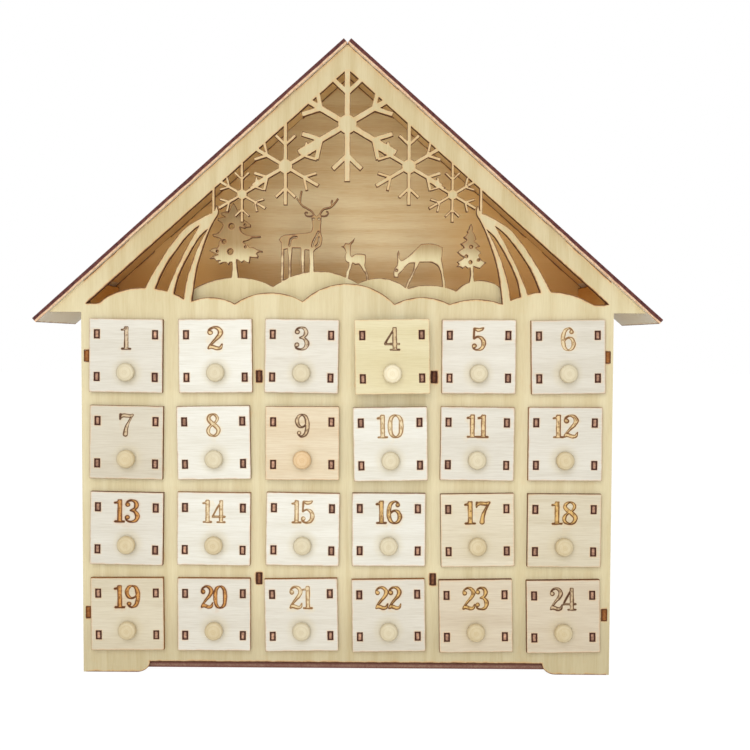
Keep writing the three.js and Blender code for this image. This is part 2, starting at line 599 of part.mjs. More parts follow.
function plateSlots() {
  const x = drawerWidth / 2 - sheet / 2;
  const [halfWidth, halfHeight] = [sheet / 2 + slotFit, plateTabHeight / 2 + slotFit];
  const corners = [-x, x].flatMap((slotX) => plateTabCentres().map((slotZ) => [slotX, slotZ]));
  return corners.map(([slotX, slotZ]) => boardAcross(rectangle(
    slotX - halfWidth,
    slotZ - halfHeight,
    slotX + halfWidth,
    slotZ + halfHeight,
  ), plateBack - sheet - 1, sheet + 2));
}

// Turned knob: a short neck that opens into a rounded button
function knobGeometry() {
  const radius = knobDiameter / 2;
  const button = (knobReach - knobFlare) / 2;
  const profile = [new THREE.Vector2(0, -sheet / 2), new THREE.Vector2(knobNeck / 2, -sheet / 2)];
  profile.push(new THREE.Vector2(knobNeck / 2, knobFlare));
  for (let i = 1; i < 4; i += 1) {
    const angle = Math.PI * (i / 4) - Math.PI / 2;
    profile.push(new THREE.Vector2(radius * Math.cos(angle) ** 0.6, knobFlare + button * (1 + Math.sin(angle))));
  }
  profile.push(new THREE.Vector2(0, knobReach));
  const geometry = new THREE.LatheGeometry(profile, 12);
  geometry.rotateX(Math.PI);
  return geometry.translate(0, plateBack - sheet, -knobDrop);
}

// Drawer front around its own centre: slotted plate and knob
function drawerFront() {
  const half = plateSize / 2;
  const plate = solid(boardAcross(rectangle(-half, -half, half, half), plateBack - sheet, sheet));
  return geometryOf(cut(plate, plateSlots()).add(solid(knobGeometry())));
}

// Drawer box around its plate's centre: sides with tabs, back and bottom
function drawerTray() {
  const half = drawerWidth / 2;
  const bottom = runGap - windowSize / 2;
  const [front, back] = [plateBack + glueGap, plateBack + drawerLength];
  const tabs = plateTabCentres().flatMap((z) => tabOutline(front, plateBack - sheet, z, plateTabHeight)).reverse();
  const top = bottom + drawerHeight;
  const side = outline([[front, bottom], [back, bottom], [back, top], [front, top], ...tabs]);
  const pieces = [-half, half - sheet].map((left) => boardLengthways(side, left, sheet));
  pieces.push(boardLevel(rectangle(-half, front, half, back), bottom, sheet));
  pieces.push(boardAcross(rectangle(-half, bottom, half, top), back - sheet, sheet));
  return geometryOf(joined(pieces));
}

const calendar = new THREE.Group();
const frontWood = new THREE.MeshStandardMaterial({ color: 0xe1d2a5, roughness: 0.7, metalness: 0 });
const sceneWood = new THREE.MeshStandardMaterial({ color: 0xd6c69a, roughness: 0.7, metalness: 0 });
const innerWood = new THREE.MeshStandardMaterial({ color: 0xb9915f, roughness: 0.75, metalness: 0 });
const roofWood = new THREE.MeshStandardMaterial({ color: 0xd9c79b, roughness: 0.7, metalness: 0 });
const plateWood = new THREE.MeshStandardMaterial({ color: 0xebe4d7, roughness: 0.65, metalness: 0 });
const trayWood = new THREE.MeshStandardMaterial({ color: 0xdcc9a0, roughness: 0.7, metalness: 0 });

function place(name, geometry, material, x, y, z) {
  const mesh = new THREE.Mesh(geometry, material);
  mesh.name = name;
  mesh.position.set(x, y, z);
  calendar.add(mesh);
}

place('front_panel', frontPanel(), frontWood, 0, -centreY, 0);
place('scene_panel', scenePanel(), sceneWood, 0, -centreY, 0);
place('back_panel', backPanel(), innerWood, 0, -centreY, 0);
place('side_left', sideWall(-1), innerWood, 0, -centreY, 0);
place('side_right', sideWall(1), innerWood, 0, -centreY, 0);
place('base_board', baseBoard(), innerWood, 0, -centreY, 0);
place('attic_floor', atticFloor(), innerWood, 0, -centreY, 0);
place('roof_left', roofBoard(-1), roofWood, 0, -centreY, 0);
place('roof_right', roofBoard(1), roofWood, 0, -centreY, 0);
place('divider_left', mainDivider(-1), innerWood, 0, -centreY, 0);
place('divider_right', mainDivider(1), innerWood, 0, -centreY, 0);
place('drawer_grid', drawerGrid(), innerWood, 0, -centreY, 0);

for (let row = 0; row < rows; row += 1) {
  for (let column = 0; column < columns; column += 1) {
    const number = row * columns + column + 1;
    const name = `drawer_${String(number).padStart(2, '0')}`;
    const [aside, turn] = askew[number] ?? [0, 0];
    const angle = THREE.MathUtils.degToRad(turn);
    const [x, y, z] = [columnX(column) + aside, -centreY - (standOut[number] ?? 0), rowZ(row)];
    place(`${name}_front`, drawerFront().rotateY(angle), plateWood, x, y, z);
    place(`${name}_tray`, drawerTray().rotateY(angle), trayWood, x, y, z);
  }
}

export default calendar;
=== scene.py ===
import math

import bpy
import numpy as np
from mathutils import Matrix, Vector
from mathutils.geometry import delaunay_2d_cdt


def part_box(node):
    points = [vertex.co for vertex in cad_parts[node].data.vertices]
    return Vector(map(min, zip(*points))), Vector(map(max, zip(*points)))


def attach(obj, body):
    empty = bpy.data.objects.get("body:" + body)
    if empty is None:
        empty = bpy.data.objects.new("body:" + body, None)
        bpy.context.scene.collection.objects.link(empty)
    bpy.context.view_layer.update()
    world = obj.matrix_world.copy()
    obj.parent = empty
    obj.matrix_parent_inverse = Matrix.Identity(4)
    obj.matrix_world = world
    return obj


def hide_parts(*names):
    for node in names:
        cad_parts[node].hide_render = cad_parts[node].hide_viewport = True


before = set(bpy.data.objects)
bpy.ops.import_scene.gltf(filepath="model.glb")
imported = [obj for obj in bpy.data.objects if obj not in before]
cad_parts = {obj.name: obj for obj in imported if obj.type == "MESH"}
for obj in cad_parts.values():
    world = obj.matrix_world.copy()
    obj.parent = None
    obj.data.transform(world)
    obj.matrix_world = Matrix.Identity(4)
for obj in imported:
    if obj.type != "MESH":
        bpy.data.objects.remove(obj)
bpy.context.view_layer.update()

scene = bpy.context.scene
mm = 0.001
dice = np.random.default_rng(24)

# Two directions in a board's plane, and one through its thickness
acrossAxes = ((1, 0, 0), (0, 0, 1), (0, 1, 0))  # boards that stand across the house
lengthwaysAxes = ((0, 1, 0), (0, 0, 1), (1, 0, 0))  # upright boards from front to back
levelAxes = ((1, 0, 0), (0, 1, 0), (0, 0, 1))


# Flat outlines

limits = {
    "digits": 3,  # decimals to which a packed board's corners are told apart
    "level": 0.01,  # how far a corner may lie off its face
    "together": 250,  # points measured at a time
    "farthest": 3.0,  # distances to a cut end at this
    "weld": 1e-5,
    "sliver": 1e-7,  # triangles of less than half this area are dropped
    "clear": 0.86,  # share of its own distance that a point beside a cut keeps from all cuts
    "least": 1e-12,  # instead of a length of nought
}


joined = np.concatenate


def columns(*parts):
    return np.stack(parts, axis=1)


def leftOf(direction):
    # A quarter turn to the left of each direction
    return columns(-direction[:, 1], direction[:, 0])


def unit(vectors):
    length = np.linalg.norm(vectors, axis=1, keepdims=True)
    return vectors / np.maximum(length, limits["least"])


def crossed(first, second):
    # More than 0 where the second direction is to the left of the first
    return first[:, 0] * second[:, 1] - first[:, 1] * second[:, 0]


def openEdges(triangles, count):
    # Directed edges that no neighbouring triangle shares, with the surface on their left
    edges = joined([triangles[:, [0, 1]], triangles[:, [1, 2]], triangles[:, [2, 0]]])
    there = edges[:, 0] * count + edges[:, 1]
    back = edges[:, 1] * count + edges[:, 0]
    return edges[np.isin(there, back, invert=True)]


def followers(edges):
    # For each edge, the edge that starts where it ends
    order = np.argsort(edges[:, 0], kind="stable")
    return order[np.searchsorted(edges[order, 0], edges[:, 1])]


def boardOutline(node, axes, atBack=False):
    # Edge of a packed board's flat face, in the board's own plane, and the span of its thickness
    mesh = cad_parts[node].data
    mesh.calc_loop_triangles()
    flat = np.empty(len(mesh.vertices) * 3)
    mesh.vertices.foreach_get("co", flat)
    corners = np.empty(len(mesh.loop_triangles) * 3, dtype=np.int32)
    mesh.loop_triangles.foreach_get("vertices", corners)
    local = np.round(flat.reshape(-1, 3) @ np.array(axes, dtype=float).T / mm,
                     limits["digits"])
    places, merged = np.unique(local, axis=0, return_inverse=True)
    triangles = merged.reshape(-1)[corners].reshape(-1, 3)
    span = (places[:, 2].min(), places[:, 2].max())
    off = np.abs(places[triangles, 2] - (span[1] if atBack else span[0]))
    cap = triangles[(off < limits["level"]).all(axis=1)]
    a, b, c = (places[cap[:, k], :2] for k in range(3))
    if crossed(b - a, c - a).sum() < 0:
        cap = cap[:, ::-1]
    return places[:, :2], openEdges(cap, len(places)), span


def hermite(t, start, startSlope, end, endSlope):
    # Points of a cubic curve, at shares t of its way
    return ((2 * t**3 - 3 * t**2 + 1) * start + (t**3 - 2 * t**2 + t) * startSlope
            + (3 * t**2 - 2 * t**3) * end + (t**3 - t**2) * endSlope)


def refined(places, edges, settings):
    # Splits each edge, as a curve where it turns gently into its neighbour, else straight.
    # Gives the points, each point's follower, and the unit vector into the board at each point.
    start, end = places[edges[:, 0]], places[edges[:, 1]]
    after = followers(edges)
    before = np.empty_like(after)
    before[after] = np.arange(len(after))
    length = np.linalg.norm(end - start, axis=1)
    way = unit(end - start)
    gentle = (way * way[after]).sum(axis=1) > math.cos(math.radians(settings["sharpAngle"]))
    most = settings["unlike"]
    alike = (length < most * length[after]) & (length[after] < most * length)
    soft = (gentle & alike)[:, None]
    blended = unit(way / length[:, None] + way[after] / length[after][:, None])
    endWay = np.where(soft, blended, way)
    startWay = np.where(soft[before], blended[before], way)
    step = np.where(length > settings["longEdge"], settings["coarseStep"], settings["fineStep"])
    count = np.maximum(1, np.ceil(length / step).astype(int))
    first = np.cumsum(count) - count
    owner = np.repeat(np.arange(len(edges)), count)
    k = np.arange(len(owner)) - first[owner]
    t = (k / count[owner])[:, None]
    pull = length[owner][:, None]
    points = hermite(t, start[owner], startWay[owner] * pull, end[owner], endWay[owner] * pull)
    following = np.arange(len(owner)) + 1
    last = k == count[owner] - 1
    following[last] = first[after[owner[last]]]
    ahead = unit(points[following] - points)
    preceding = np.empty_like(following)
    preceding[following] = np.arange(len(following))
    inward = unit(leftOf(ahead) + leftOf(ahead[preceding]))
    return points, following, inward


def byRows(function, points, a, b, margin, otherwise):
    # Runs a calculation on rows of points, each with only the edges within the margin of it
    result = np.full(len(points), otherwise, dtype=float)
    low = np.minimum(a[:, 1], b[:, 1]) - margin
    high = np.maximum(a[:, 1], b[:, 1]) + margin
    order = np.argsort(points[:, 1], kind="stable")
    for part in np.array_split(order, len(order) // limits["together"] + 1):
        if len(part):
            y = points[part, 1]
            near = (high >= y.min()) & (low <= y.max())
            if near.any():
                result[part] = function(points[part], a[near], b[near])
    return result


def distanceTo(points, a, b):
    # Distance from each point to the nearest of the straight edges a to b
    def nearest(some, a, b):
        run = b - a
        gap = some[:, None, :] - a
        square = np.maximum((run**2).sum(axis=1), limits["least"])
        share = np.clip((gap * run).sum(axis=2) / square, 0, 1)
        return np.sqrt(((gap - share[..., None] * run) ** 2).sum(axis=2).min(axis=1))

    farthest = limits["farthest"]
    return np.minimum(byRows(nearest, points, a, b, farthest, farthest), farthest)


def windings(points, a, b):
    # How many times the edges go round each point, counted along a ray to the right
    def turns(some, a, b):
        y = some[:, 1, None]
        rise = np.where(b[:, 1] == a[:, 1], limits["least"], b[:, 1] - a[:, 1])
        up = (a[:, 1] <= y) & (b[:, 1] > y)
        down = (b[:, 1] <= y) & (a[:, 1] > y)
        right = a[:, 0] + (y - a[:, 1]) / rise * (b[:, 0] - a[:, 0]) > some[:, 0, None]
        return (up & right).sum(axis=1) - (down & right).sum(axis=1)

    return byRows(turns, points, a, b, 0.0, 0.0)


def triangulated(points, edges):
    # Constrained Delaunay triangles over the points that keep the edges whole
    made = delaunay_2d_cdt([Vector(p) for p in points.tolist()], edges.tolist(), [], 0,
                           limits["weld"], False)
    places = np.array([tuple(p) for p in made[0]])
    triangles = np.array(made[2], dtype=np.int64)
    a, b, c = (places[triangles[:, k]] for k in range(3))
    area = crossed(b - a, c - a)
    triangles[area < 0] = triangles[area < 0][:, ::-1]
    triangles = triangles[np.abs(area) > limits["sliver"]]
    return places, triangles, places[triangles].mean(axis=1)


def besideRows(points, ways, distances, a, b):
    # Rows of points beside an outline, less those that come near another part of it
    rows = joined([points + way * away for away in distances for way in ways])
    asked = np.repeat(distances, len(points) * len(ways))
    return rows[distanceTo(rows, a, b) > limits["clear"] * asked]


def ribbon(edges, count):
    # Two triangles from each edge to its copy, a number of points further on
    p, q = edges[:, 0], edges[:, 1]
    return joined([columns(p, p + count, q + count), columns(p, q + count, q)])


# Boards

board = {
    "sharpAngle": 36,  # degrees; joins that turn more stay corners
    "unlike": 3,  # edges that differ in length by more than this ratio don't curve together
    "longEdge": 12,
    "coarseStep": 2.2,
    "fineStep": 0.7,
    "rings": (0.14, 0.38, 0.8, 1.5),  # rows of points beside every cut
}


def newObject(name, data):
    made = bpy.data.objects.new(name, data)
    scene.collection.objects.link(made)
    return made


def pieceMesh(name, vertices, groups, values):
    # groups: (triangles, material index) pairs; values: a number per vertex under each name
    mesh = bpy.data.meshes.new(name)
    faces = joined([group for group, _ in groups])
    mesh.from_pydata((vertices * mm).tolist(), [], faces.tolist())
    index = joined([np.full(len(group), number) for group, number in groups])
    mesh.polygons.foreach_set("material_index", index.astype(np.int32))
    for label, numbers in values.items():
        layer = mesh.attributes.new(label, "FLOAT", "POINT")
        layer.data.foreach_set("value", np.asarray(numbers, dtype=np.float32))
    mesh.validate()
    return newObject(name, mesh)


def isCorner(places, outlinePoints, following, settings):
    # 1 for each place at a sharp corner of the outline
    way = unit(outlinePoints[following] - outlinePoints)
    sharp = (way * way[following]).sum(axis=1) < math.cos(math.radians(settings["sharpAngle"]))
    corners = outlinePoints[following[sharp]]
    rounded = [np.round(p, limits["digits"]) for p in (places, corners)]
    return np.isin(*[p[:, 0] + 1j * p[:, 1] for p in rounded]).astype(float)


def solidBoard(outlinePoints, following, inward, span, axes, settings=board):
    # A board from its refined outline. Gives vertices, the triangles of its two faces and of its
    # cut walls, and each vertex's distance to a cut, depth, and whether it is a corner.
    a, b = outlinePoints, outlinePoints[following]
    rows = besideRows(a, [inward], settings["rings"], a, b)
    rows = rows[windings(rows, a, b) != 0]
    edges = columns(np.arange(len(a)), following)
    places, triangles, middle = triangulated(joined([a, rows]), edges)
    triangles = triangles[windings(middle, a, b) != 0]
    used, fresh = np.unique(triangles, return_inverse=True)
    places, triangles = places[used], fresh.reshape(-1, 3)
    count = len(places)
    rim = openEdges(triangles, count)
    away = distanceTo(places, a, b)
    away[np.unique(rim)] = 0
    basis = np.array(axes, dtype=float)
    flat = places @ basis[:2]
    vertices = joined([flat + level * basis[2] for level in span])
    walls = ribbon(rim, count)
    faces = joined([triangles, triangles[:, ::-1] + count])
    if np.linalg.det(basis) > 0:
        faces, walls = faces[:, ::-1], walls[:, ::-1]
    values = {"cutDistance": np.tile(away, 2), "depth": np.repeat([0.0, 1.0], count),
              "corner": np.tile(isCorner(places, a, following, settings), 2)}
    return vertices, faces, walls, values


def finishPiece(piece, body, node, materials):
    for material in materials:
        piece.data.materials.append(material)
    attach(piece, body)
    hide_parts(node)


# Node helpers

def colour(red, green, blue):
    # A screen colour turned into the linear value that Blender takes
    shares = [value / 255 for value in (red, green, blue)]
    return [s / 12.92 if s <= 0.04045 else ((s + 0.055) / 1.055) ** 2.4 for s in shares] + [1.0]


def addNode(tree, kind, sockets=None, **settings):
    # A colour of three numbers is a screen colour
    node = tree.nodes.new("ShaderNode" + kind)
    for name, value in settings.items():
        setattr(node, name, value)
    for name, value in (sockets or {}).items():
        socket = node.inputs[name]
        if isinstance(value, bpy.types.NodeSocket):
            tree.links.new(value, socket)
        elif socket.type == "RGBA" and len(value) == 3:
            socket.default_value = colour(*value)
        else:
            socket.default_value = value
    return node


def maths(tree, operation, first, second=0.0):
    return addNode(tree, "Math", {0: first, 1: second}, operation=operation).outputs[0]


def times(tree, first, second):
    return maths(tree, "MULTIPLY", first, second)


def less(tree, first, second):
    return maths(tree, "SUBTRACT", first, second)


def mixed(tree, share, first, second, blend="MIX"):
    return addNode(tree, "Mix", {0: share, 6: first, 7: second},
                   data_type="RGBA", blend_type=blend).outputs[2]


def eased(tree, value, low, high, toLow=0.0, toHigh=1.0):
    return addNode(tree, "MapRange", {0: value, 1: low, 2: high, 3: toLow, 4: toHigh},
                   interpolation_type="SMOOTHSTEP").outputs[0]


def clamped(tree, value):
    return addNode(tree, "Clamp", {0: value}).outputs[0]


def noise(tree, vector, scale, detail, rough):
    return addNode(tree, "TexNoise", {"Vector": vector, "Scale": scale, "Detail": detail,
                                      "Roughness": rough}).outputs["Fac"]


def patches(tree, vector, texture, spread, *shares):
    # Noise of a given scale, detail and roughness, eased over a spread of its values
    return eased(tree, noise(tree, vector, *texture), *spread, *shares)


def partsOf(tree, vector):
    return addNode(tree, "SeparateXYZ", {0: vector}).outputs


def sideways(tree, place):
    return maths(tree, "ABSOLUTE", place["X"])


def nodeGroup(name, inputs, outputs):
    # Inputs and outputs: the labels of the sockets of each kind
    tree = bpy.data.node_groups.new(name, "ShaderNodeTree")
    for way, sockets in (("INPUT", inputs), ("OUTPUT", outputs)):
        for kind, labels in sockets.items():
            for label in labels.split():
                tree.interface.new_socket(label, in_out=way, socket_type="NodeSocket" + kind)
    given = tree.nodes.new("NodeGroupInput").outputs
    return tree, given, tree.nodes.new("NodeGroupOutput").inputs


grainLook = {
    # As patches takes them: noise scale, detail and roughness, and the noise at none and at full
    "Fibres": ((2600.0, 3.0, 0.6), (0.35, 0.7)),
    "Bands": ((120.0, 2.0, 0.45), (0.36, 0.66)),
    "Pores": ((1500.0, 1.0, 0.5), (0.62, 0.74)),
    "warp": (60.0, 2.0, 0.5),
    "warpReach": 0.03,  # how far the bands wander
}


# Wood grain: fine fibres, short pores and broad soft bands along the short axis of its vector
def grainGroup():
    tree, given, out = nodeGroup(
        "grain", {"Vector": "Vector", "Color": "Light Dark", "Float": "Fibres Bands Pores"},
        {"Color": "Color", "Float": "Height"})
    vector, share = given["Vector"], 0.0
    warp = noise(tree, vector, *grainLook["warp"])
    bent = addNode(tree, "VectorMath", {0: warp, 1: (grainLook["warpReach"],) * 3, 2: vector},
                   operation="MULTIPLY_ADD").outputs[0]
    for label, where in (("Fibres", vector), ("Bands", bent), ("Pores", vector)):
        mask = patches(tree, where, *grainLook[label])
        share = maths(tree, "ADD", share, times(tree, mask, given[label]))
    share = clamped(tree, share)
    tree.links.new(mixed(tree, share, given["Light"], given["Dark"]), out["Color"])
    tree.links.new(less(tree, 1.0, share), out["Height"])
    return tree


scorchLook = {
    "wander": ((220.0, 3.0, 0.6), (0.3, 0.7), 0.55, 1.45),  # last: least and most share of a reach
    "lineFull": 0.7,  # the line is full from this share of its reach inwards
}


# Laser scorch: a warm halo that fades from a cut, and a thin dark line at the cut itself
def scorchGroup():
    tree, given, out = nodeGroup("scorch", {
        "Vector": "Vector", "Color": "Color Halo Line",
        "Float": "Distance HaloReach HaloShare LineReach LineShare"}, {"Color": "Color"})
    uneven = patches(tree, given["Vector"], *scorchLook["wander"])
    made = given["Color"]
    for label, full in (("Halo", 1.0), ("Line", scorchLook["lineFull"])):
        reach = times(tree, given[label + "Reach"], uneven)
        near = less(tree, 1.0, maths(tree, "DIVIDE", given["Distance"], reach))
        burn = times(tree, eased(tree, near, 0.0, full), given[label + "Share"])
        made = mixed(tree, burn, made, given[label])
    tree.links.new(made, out["Color"])
    return tree


plyLook = {
    "core": (0.12, 0.26),  # half thickness of the middle veneer, in shares of the depth
    "outerToast": 0.6,  # share of the toast in the outer veneers
    "rim": (0.2, 0.36),  # from the middle, where the dark rim begins and is full
    "corner": (0.3, 0.9),
    "streak": ((900.0, 3.0, 0.65), (0.3, 0.75), 0.4, 1.0),
    "patch": ((90.0, 2.0, 0.5), (0.3, 0.7), 0.65, 1.1),
}


# Charred plywood edge: three veneers through the depth, streaked, darkest beside the faces
def plyEdgeGroup():
    tree, given, out = nodeGroup(
        "plyEdge", {"Vector": "Vector", "Color": "Char Toast", "Float": "Depth Corner Rim"},
        {"Color": "Color", "Float": "Height"})
    fromMiddle = maths(tree, "ABSOLUTE", less(tree, given["Depth"], 0.5))
    core = eased(tree, fromMiddle, *plyLook["core"], 1.0, 0.0)
    share = times(tree, *(patches(tree, given["Vector"], *plyLook[kind])
                          for kind in ("streak", "patch")))
    share = times(tree, share, eased(tree, core, 0.0, 1.0, plyLook["outerToast"], 1.0))
    share = times(tree, share, eased(tree, fromMiddle, *plyLook["rim"], 1.0, given["Rim"]))
    share = times(tree, share, eased(tree, given["Corner"], *plyLook["corner"], 1.0, given["Rim"]))
    share = clamped(tree, share)
    tree.links.new(mixed(tree, share, given["Char"], given["Toast"]), out["Color"])
    tree.links.new(share, out["Height"])
    return tree


grain, scorch, plyEdge = grainGroup(), scorchGroup(), plyEdgeGroup()


def groupNode(tree, group, inputs):
    return addNode(tree, "Group", inputs, node_tree=group).outputs


def newMaterial(name):
    material = bpy.data.materials.new(name)
    material.use_nodes = True
    return material, material.node_tree


def objectPlace(tree):
    return addNode(tree, "TexCoord").outputs["Object"]


def attributeOf(tree, name):
    return addNode(tree, "Attribute", attribute_name=name).outputs["Fac"]


def scorched(tree, where, shown, distance, burn):
    return groupNode(tree, scorch, {"Color": shown, "Distance": attributeOf(tree, distance),
                                    "Vector": where, **burn})["Color"]


def woodOf(tree, look):
    # The place on the object, and the grain there
    look = {**usualLook, **look}
    where = objectPlace(tree)
    stretched = addNode(tree, "Mapping", {
        "Vector": where, "Scale": look["along"], "Location": look["shift"]})
    return where, groupNode(tree, grain, {
        "Vector": stretched.outputs[0], "Light": look["light"], "Dark": look["dark"],
        "Fibres": look["fibres"], "Bands": look["bands"], "Pores": look["pores"]})


# Depth and strength of the bump; roughness, or those of the low and high places; specular share
surfaces = {
    "face": (0.00006, 0.6, (0.72, 0.56), 0.3),
    "plate": (0.00006, 0.6, (0.7, 0.55), 0.3),
    "grid": (0.00006, 0.6, 0.65, 0.3),
    "edge": (0.00008, 0.5, (0.85, 0.6), 0.2),
    "roofEdge": (0.00008, 0.5, 0.7, 0.2),
    "knob": (0.0002, 0.4, 0.5, 0.25),
}


def dress(tree, shown, height, kind):
    depth, strength, roughness, specular = surfaces[kind]
    shader = tree.nodes["Principled BSDF"].inputs
    shader["Specular IOR Level"].default_value = specular
    tree.links.new(shown, shader["Base Color"])
    if isinstance(roughness, tuple):
        tree.links.new(eased(tree, height, 0.0, 1.0, *roughness), shader["Roughness"])
    else:
        shader["Roughness"].default_value = roughness
    bump = addNode(tree, "Bump", {"Height": height, "Distance": depth, "Strength": strength})
    tree.links.new(bump.outputs[0], shader["Normal"])


alongX, alongY, alongZ = (0.05, 1, 1), (1, 0.05, 1), (1, 1, 0.05)
usualLook = {"along": alongY, "fibres": 0.3, "bands": 0.5, "pores": 0.2, "shift": (0, 0, 0)}
roofSlope = math.radians(41.3)

# Painted shadow of the roof boards along the gable's sloping edges
gableRoofShadow = {
    "ridge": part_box("front_panel")[1][2] + 0.0015,  # as raised, see gable
    "reach": 0.005,
    "share": 0.14,
    "tone": (196, 150, 96),
}

# Painted light and shade on the inside face of the back panel
atticBackPaintedShade = {
    "corner": (0.03, 0.085),  # distances from the middle where gold begins and is full
    "cornerShare": 0.8,
    "cornerLightTone": (255, 212, 134),
    "low": (0.19, 0.215),
    "lowShadeTone": (238, 228, 216),
}

atticFront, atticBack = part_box("front_panel")[1][1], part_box("back_panel")[0][1]
# Painted light on the roof boards' underside
roofUndersidePaintedLight = {
    "middle": (atticFront + atticBack) / 2,
    "half": (atticBack - atticFront) / 2,
    "side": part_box("side_right")[0][0],
    "inside": (255, 228, 174),
    "eaves": (255, 250, 236),
    "share": 0.92,
}


def besideRoof(tree, where, wood):
    # Painted shadow: the gable is browner in a band along the roof boards, where they shade it
    place = partsOf(tree, where)
    below = times(tree, less(tree, gableRoofShadow["ridge"], place["Z"]), math.cos(roofSlope))
    across = times(tree, sideways(tree, place), math.sin(roofSlope))
    near = eased(tree, less(tree, below, across), 0.0, gableRoofShadow["reach"],
                 gableRoofShadow["share"], 0.0)
    return mixed(tree, near, wood, gableRoofShadow["tone"])


def onFirstFace(tree):
    # 1 on a board's front face or underside
    return maths(tree, "LESS_THAN", attributeOf(tree, "depth"), 0.5)


def insideBack(tree, where, wood):
    # Painted light and shade inside: the back is browner low down as painted shade, and more
    # golden towards its two low corners as painted light
    place, inner = partsOf(tree, where), onFirstFace(tree)
    corner = eased(tree, sideways(tree, place), *atticBackPaintedShade["corner"], 0.0,
                   atticBackPaintedShade["cornerShare"])
    golden = mixed(tree, times(tree, corner, inner), wood, atticBackPaintedShade["cornerLightTone"])
    low = times(tree, eased(tree, place["Z"], *atticBackPaintedShade["low"], 1.0, 0.0), inner)
    return mixed(tree, low, golden, atticBackPaintedShade["lowShadeTone"], "MULTIPLY")


def roofTone(tree, where, wood):
    # Painted light on the underside: warmer and more golden where it looks into the attic, near
    # white outside under the eaves, where it lies in shade
    place = partsOf(tree, where)
    between = addNode(tree, "Math", {0: place["Y"], 1: roofUndersidePaintedLight["middle"], 2: roofUndersidePaintedLight["half"]},
                      operation="COMPARE").outputs[0]
    beside = maths(tree, "LESS_THAN", sideways(tree, place), roofUndersidePaintedLight["side"])
    below = mixed(tree, times(tree, between, beside), roofUndersidePaintedLight["eaves"], roofUndersidePaintedLight["inside"])
    return mixed(tree, times(tree, onFirstFace(tree), roofUndersidePaintedLight["share"]), wood, below)


faceScorch = {"Halo": (222, 158, 84), "HaloReach": 1.25, "HaloShare": 0.6,
              "Line": (96, 52, 26), "LineReach": 0.52, "LineShare": 0.94}
sceneScorch = {"Halo": (206, 150, 90), "HaloReach": 1.0, "HaloShare": 0.5,
               "Line": (98, 58, 34), "LineReach": 0.46, "LineShare": 0.9}

# Faces of boards: colours, direction of the grain, how strongly it shows, and painted shade by
# height (heights from and to, shares there, what the wood's colour is multiplied by)
faceLooks = {
    "frontFace": {
        "light": (227, 216, 178), "dark": (206, 189, 143), "along": alongZ,
        "fibres": 0.25, "bands": 0.45, "pores": 0.15, "tone": besideRoof,
        # painted shade: a little darker towards the foot and high in the gable
        "paintedShade": [(0.006, 0.045, 1, 0, (234, 232, 230)), (0.158, 0.21, 0, 1, (237, 232, 225))],
        "plainBeyond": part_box("side_right")[1][0],
        "finer": (0.2, 0.215, {"LineReach": 0.28, "HaloShare": 0.36})},
    "sceneFace": {
        "light": (228, 215, 172), "dark": (204, 186, 136), "along": alongZ,
        "fibres": 0.25, "bands": 0.45, "burn": sceneScorch,
        # painted shade: darker above the hills, inside the attic
        "paintedShade": [(0.198, 0.208, 0, 1, (194, 172, 150))]},
    "backFace": {
        "light": (240, 223, 178), "dark": (216, 184, 130), "along": alongX,
        "bands": 0.6, "tone": insideBack},
    "innerFace": {
        "light": (250, 240, 212), "dark": (226, 206, 166),
        # painted shade: more golden brown near the top, inside the attic
        "paintedShade": [(0.165, 0.172, 0, 1, (255, 214, 150))]},
    "roofFace": {
        "light": (244, 234, 204), "dark": (222, 204, 164), "bands": 0.55, "tone": roofTone},
    "trayFace": {"light": (230, 216, 178), "dark": (206, 184, 140)},
}


def faceMaterial(name, look):
    material, tree = newMaterial(name)
    where, wood = woodOf(tree, look)
    place, toned = partsOf(tree, where), wood["Color"]
    if "tone" in look:
        toned = look["tone"](tree, where, toned)
    # painted shade by height
    for low, high, atLow, atHigh, tone in look.get("paintedShade", ()):
        share = eased(tree, place["Z"], low, high, atLow, atHigh)
        toned = mixed(tree, share, toned, tone, "MULTIPLY")
    burn = dict(look.get("burn", faceScorch))
    if "finer" in look:  # the thin work high in the gable is burnt less
        low, high, finer = look["finer"]
        burn.update({label: eased(tree, place["Z"], low, high, burn[label], value)
                     for label, value in finer.items()})
    shown = scorched(tree, where, toned, "cutDistance", burn)
    if "plainBeyond" in look:  # no burnt line along the outer sides
        beyond = maths(tree, "GREATER_THAN", sideways(tree, place), look["plainBeyond"])
        shown = mixed(tree, beyond, shown, toned)
    dress(tree, shown, wood["Height"], "face")
    return material


def edgeMaterial(name, char, toast, rim=0.4):
    material, tree = newMaterial(name)
    ply = groupNode(tree, plyEdge, {
        "Depth": attributeOf(tree, "depth"), "Vector": objectPlace(tree),
        "Char": char, "Toast": toast, "Corner": attributeOf(tree, "corner"), "Rim": rim})
    dress(tree, ply["Color"], ply["Height"], "edge")
    return material


roofEnd = {
    "char": (70, 34, 36),
    "toast": (112, 66, 58),
    "pale": (236, 206, 172),
    "blush": (206, 158, 122),
    "streak": (700.0, 3.0, 0.65),
    "streakSpread": (0.3, 0.75),
    "wander": (130.0, 2.0, 0.5),
    "wanderReach": 0.3,
    "step": (0.3, 0.42),  # from pale to charred, in shares of the board from its underside
}


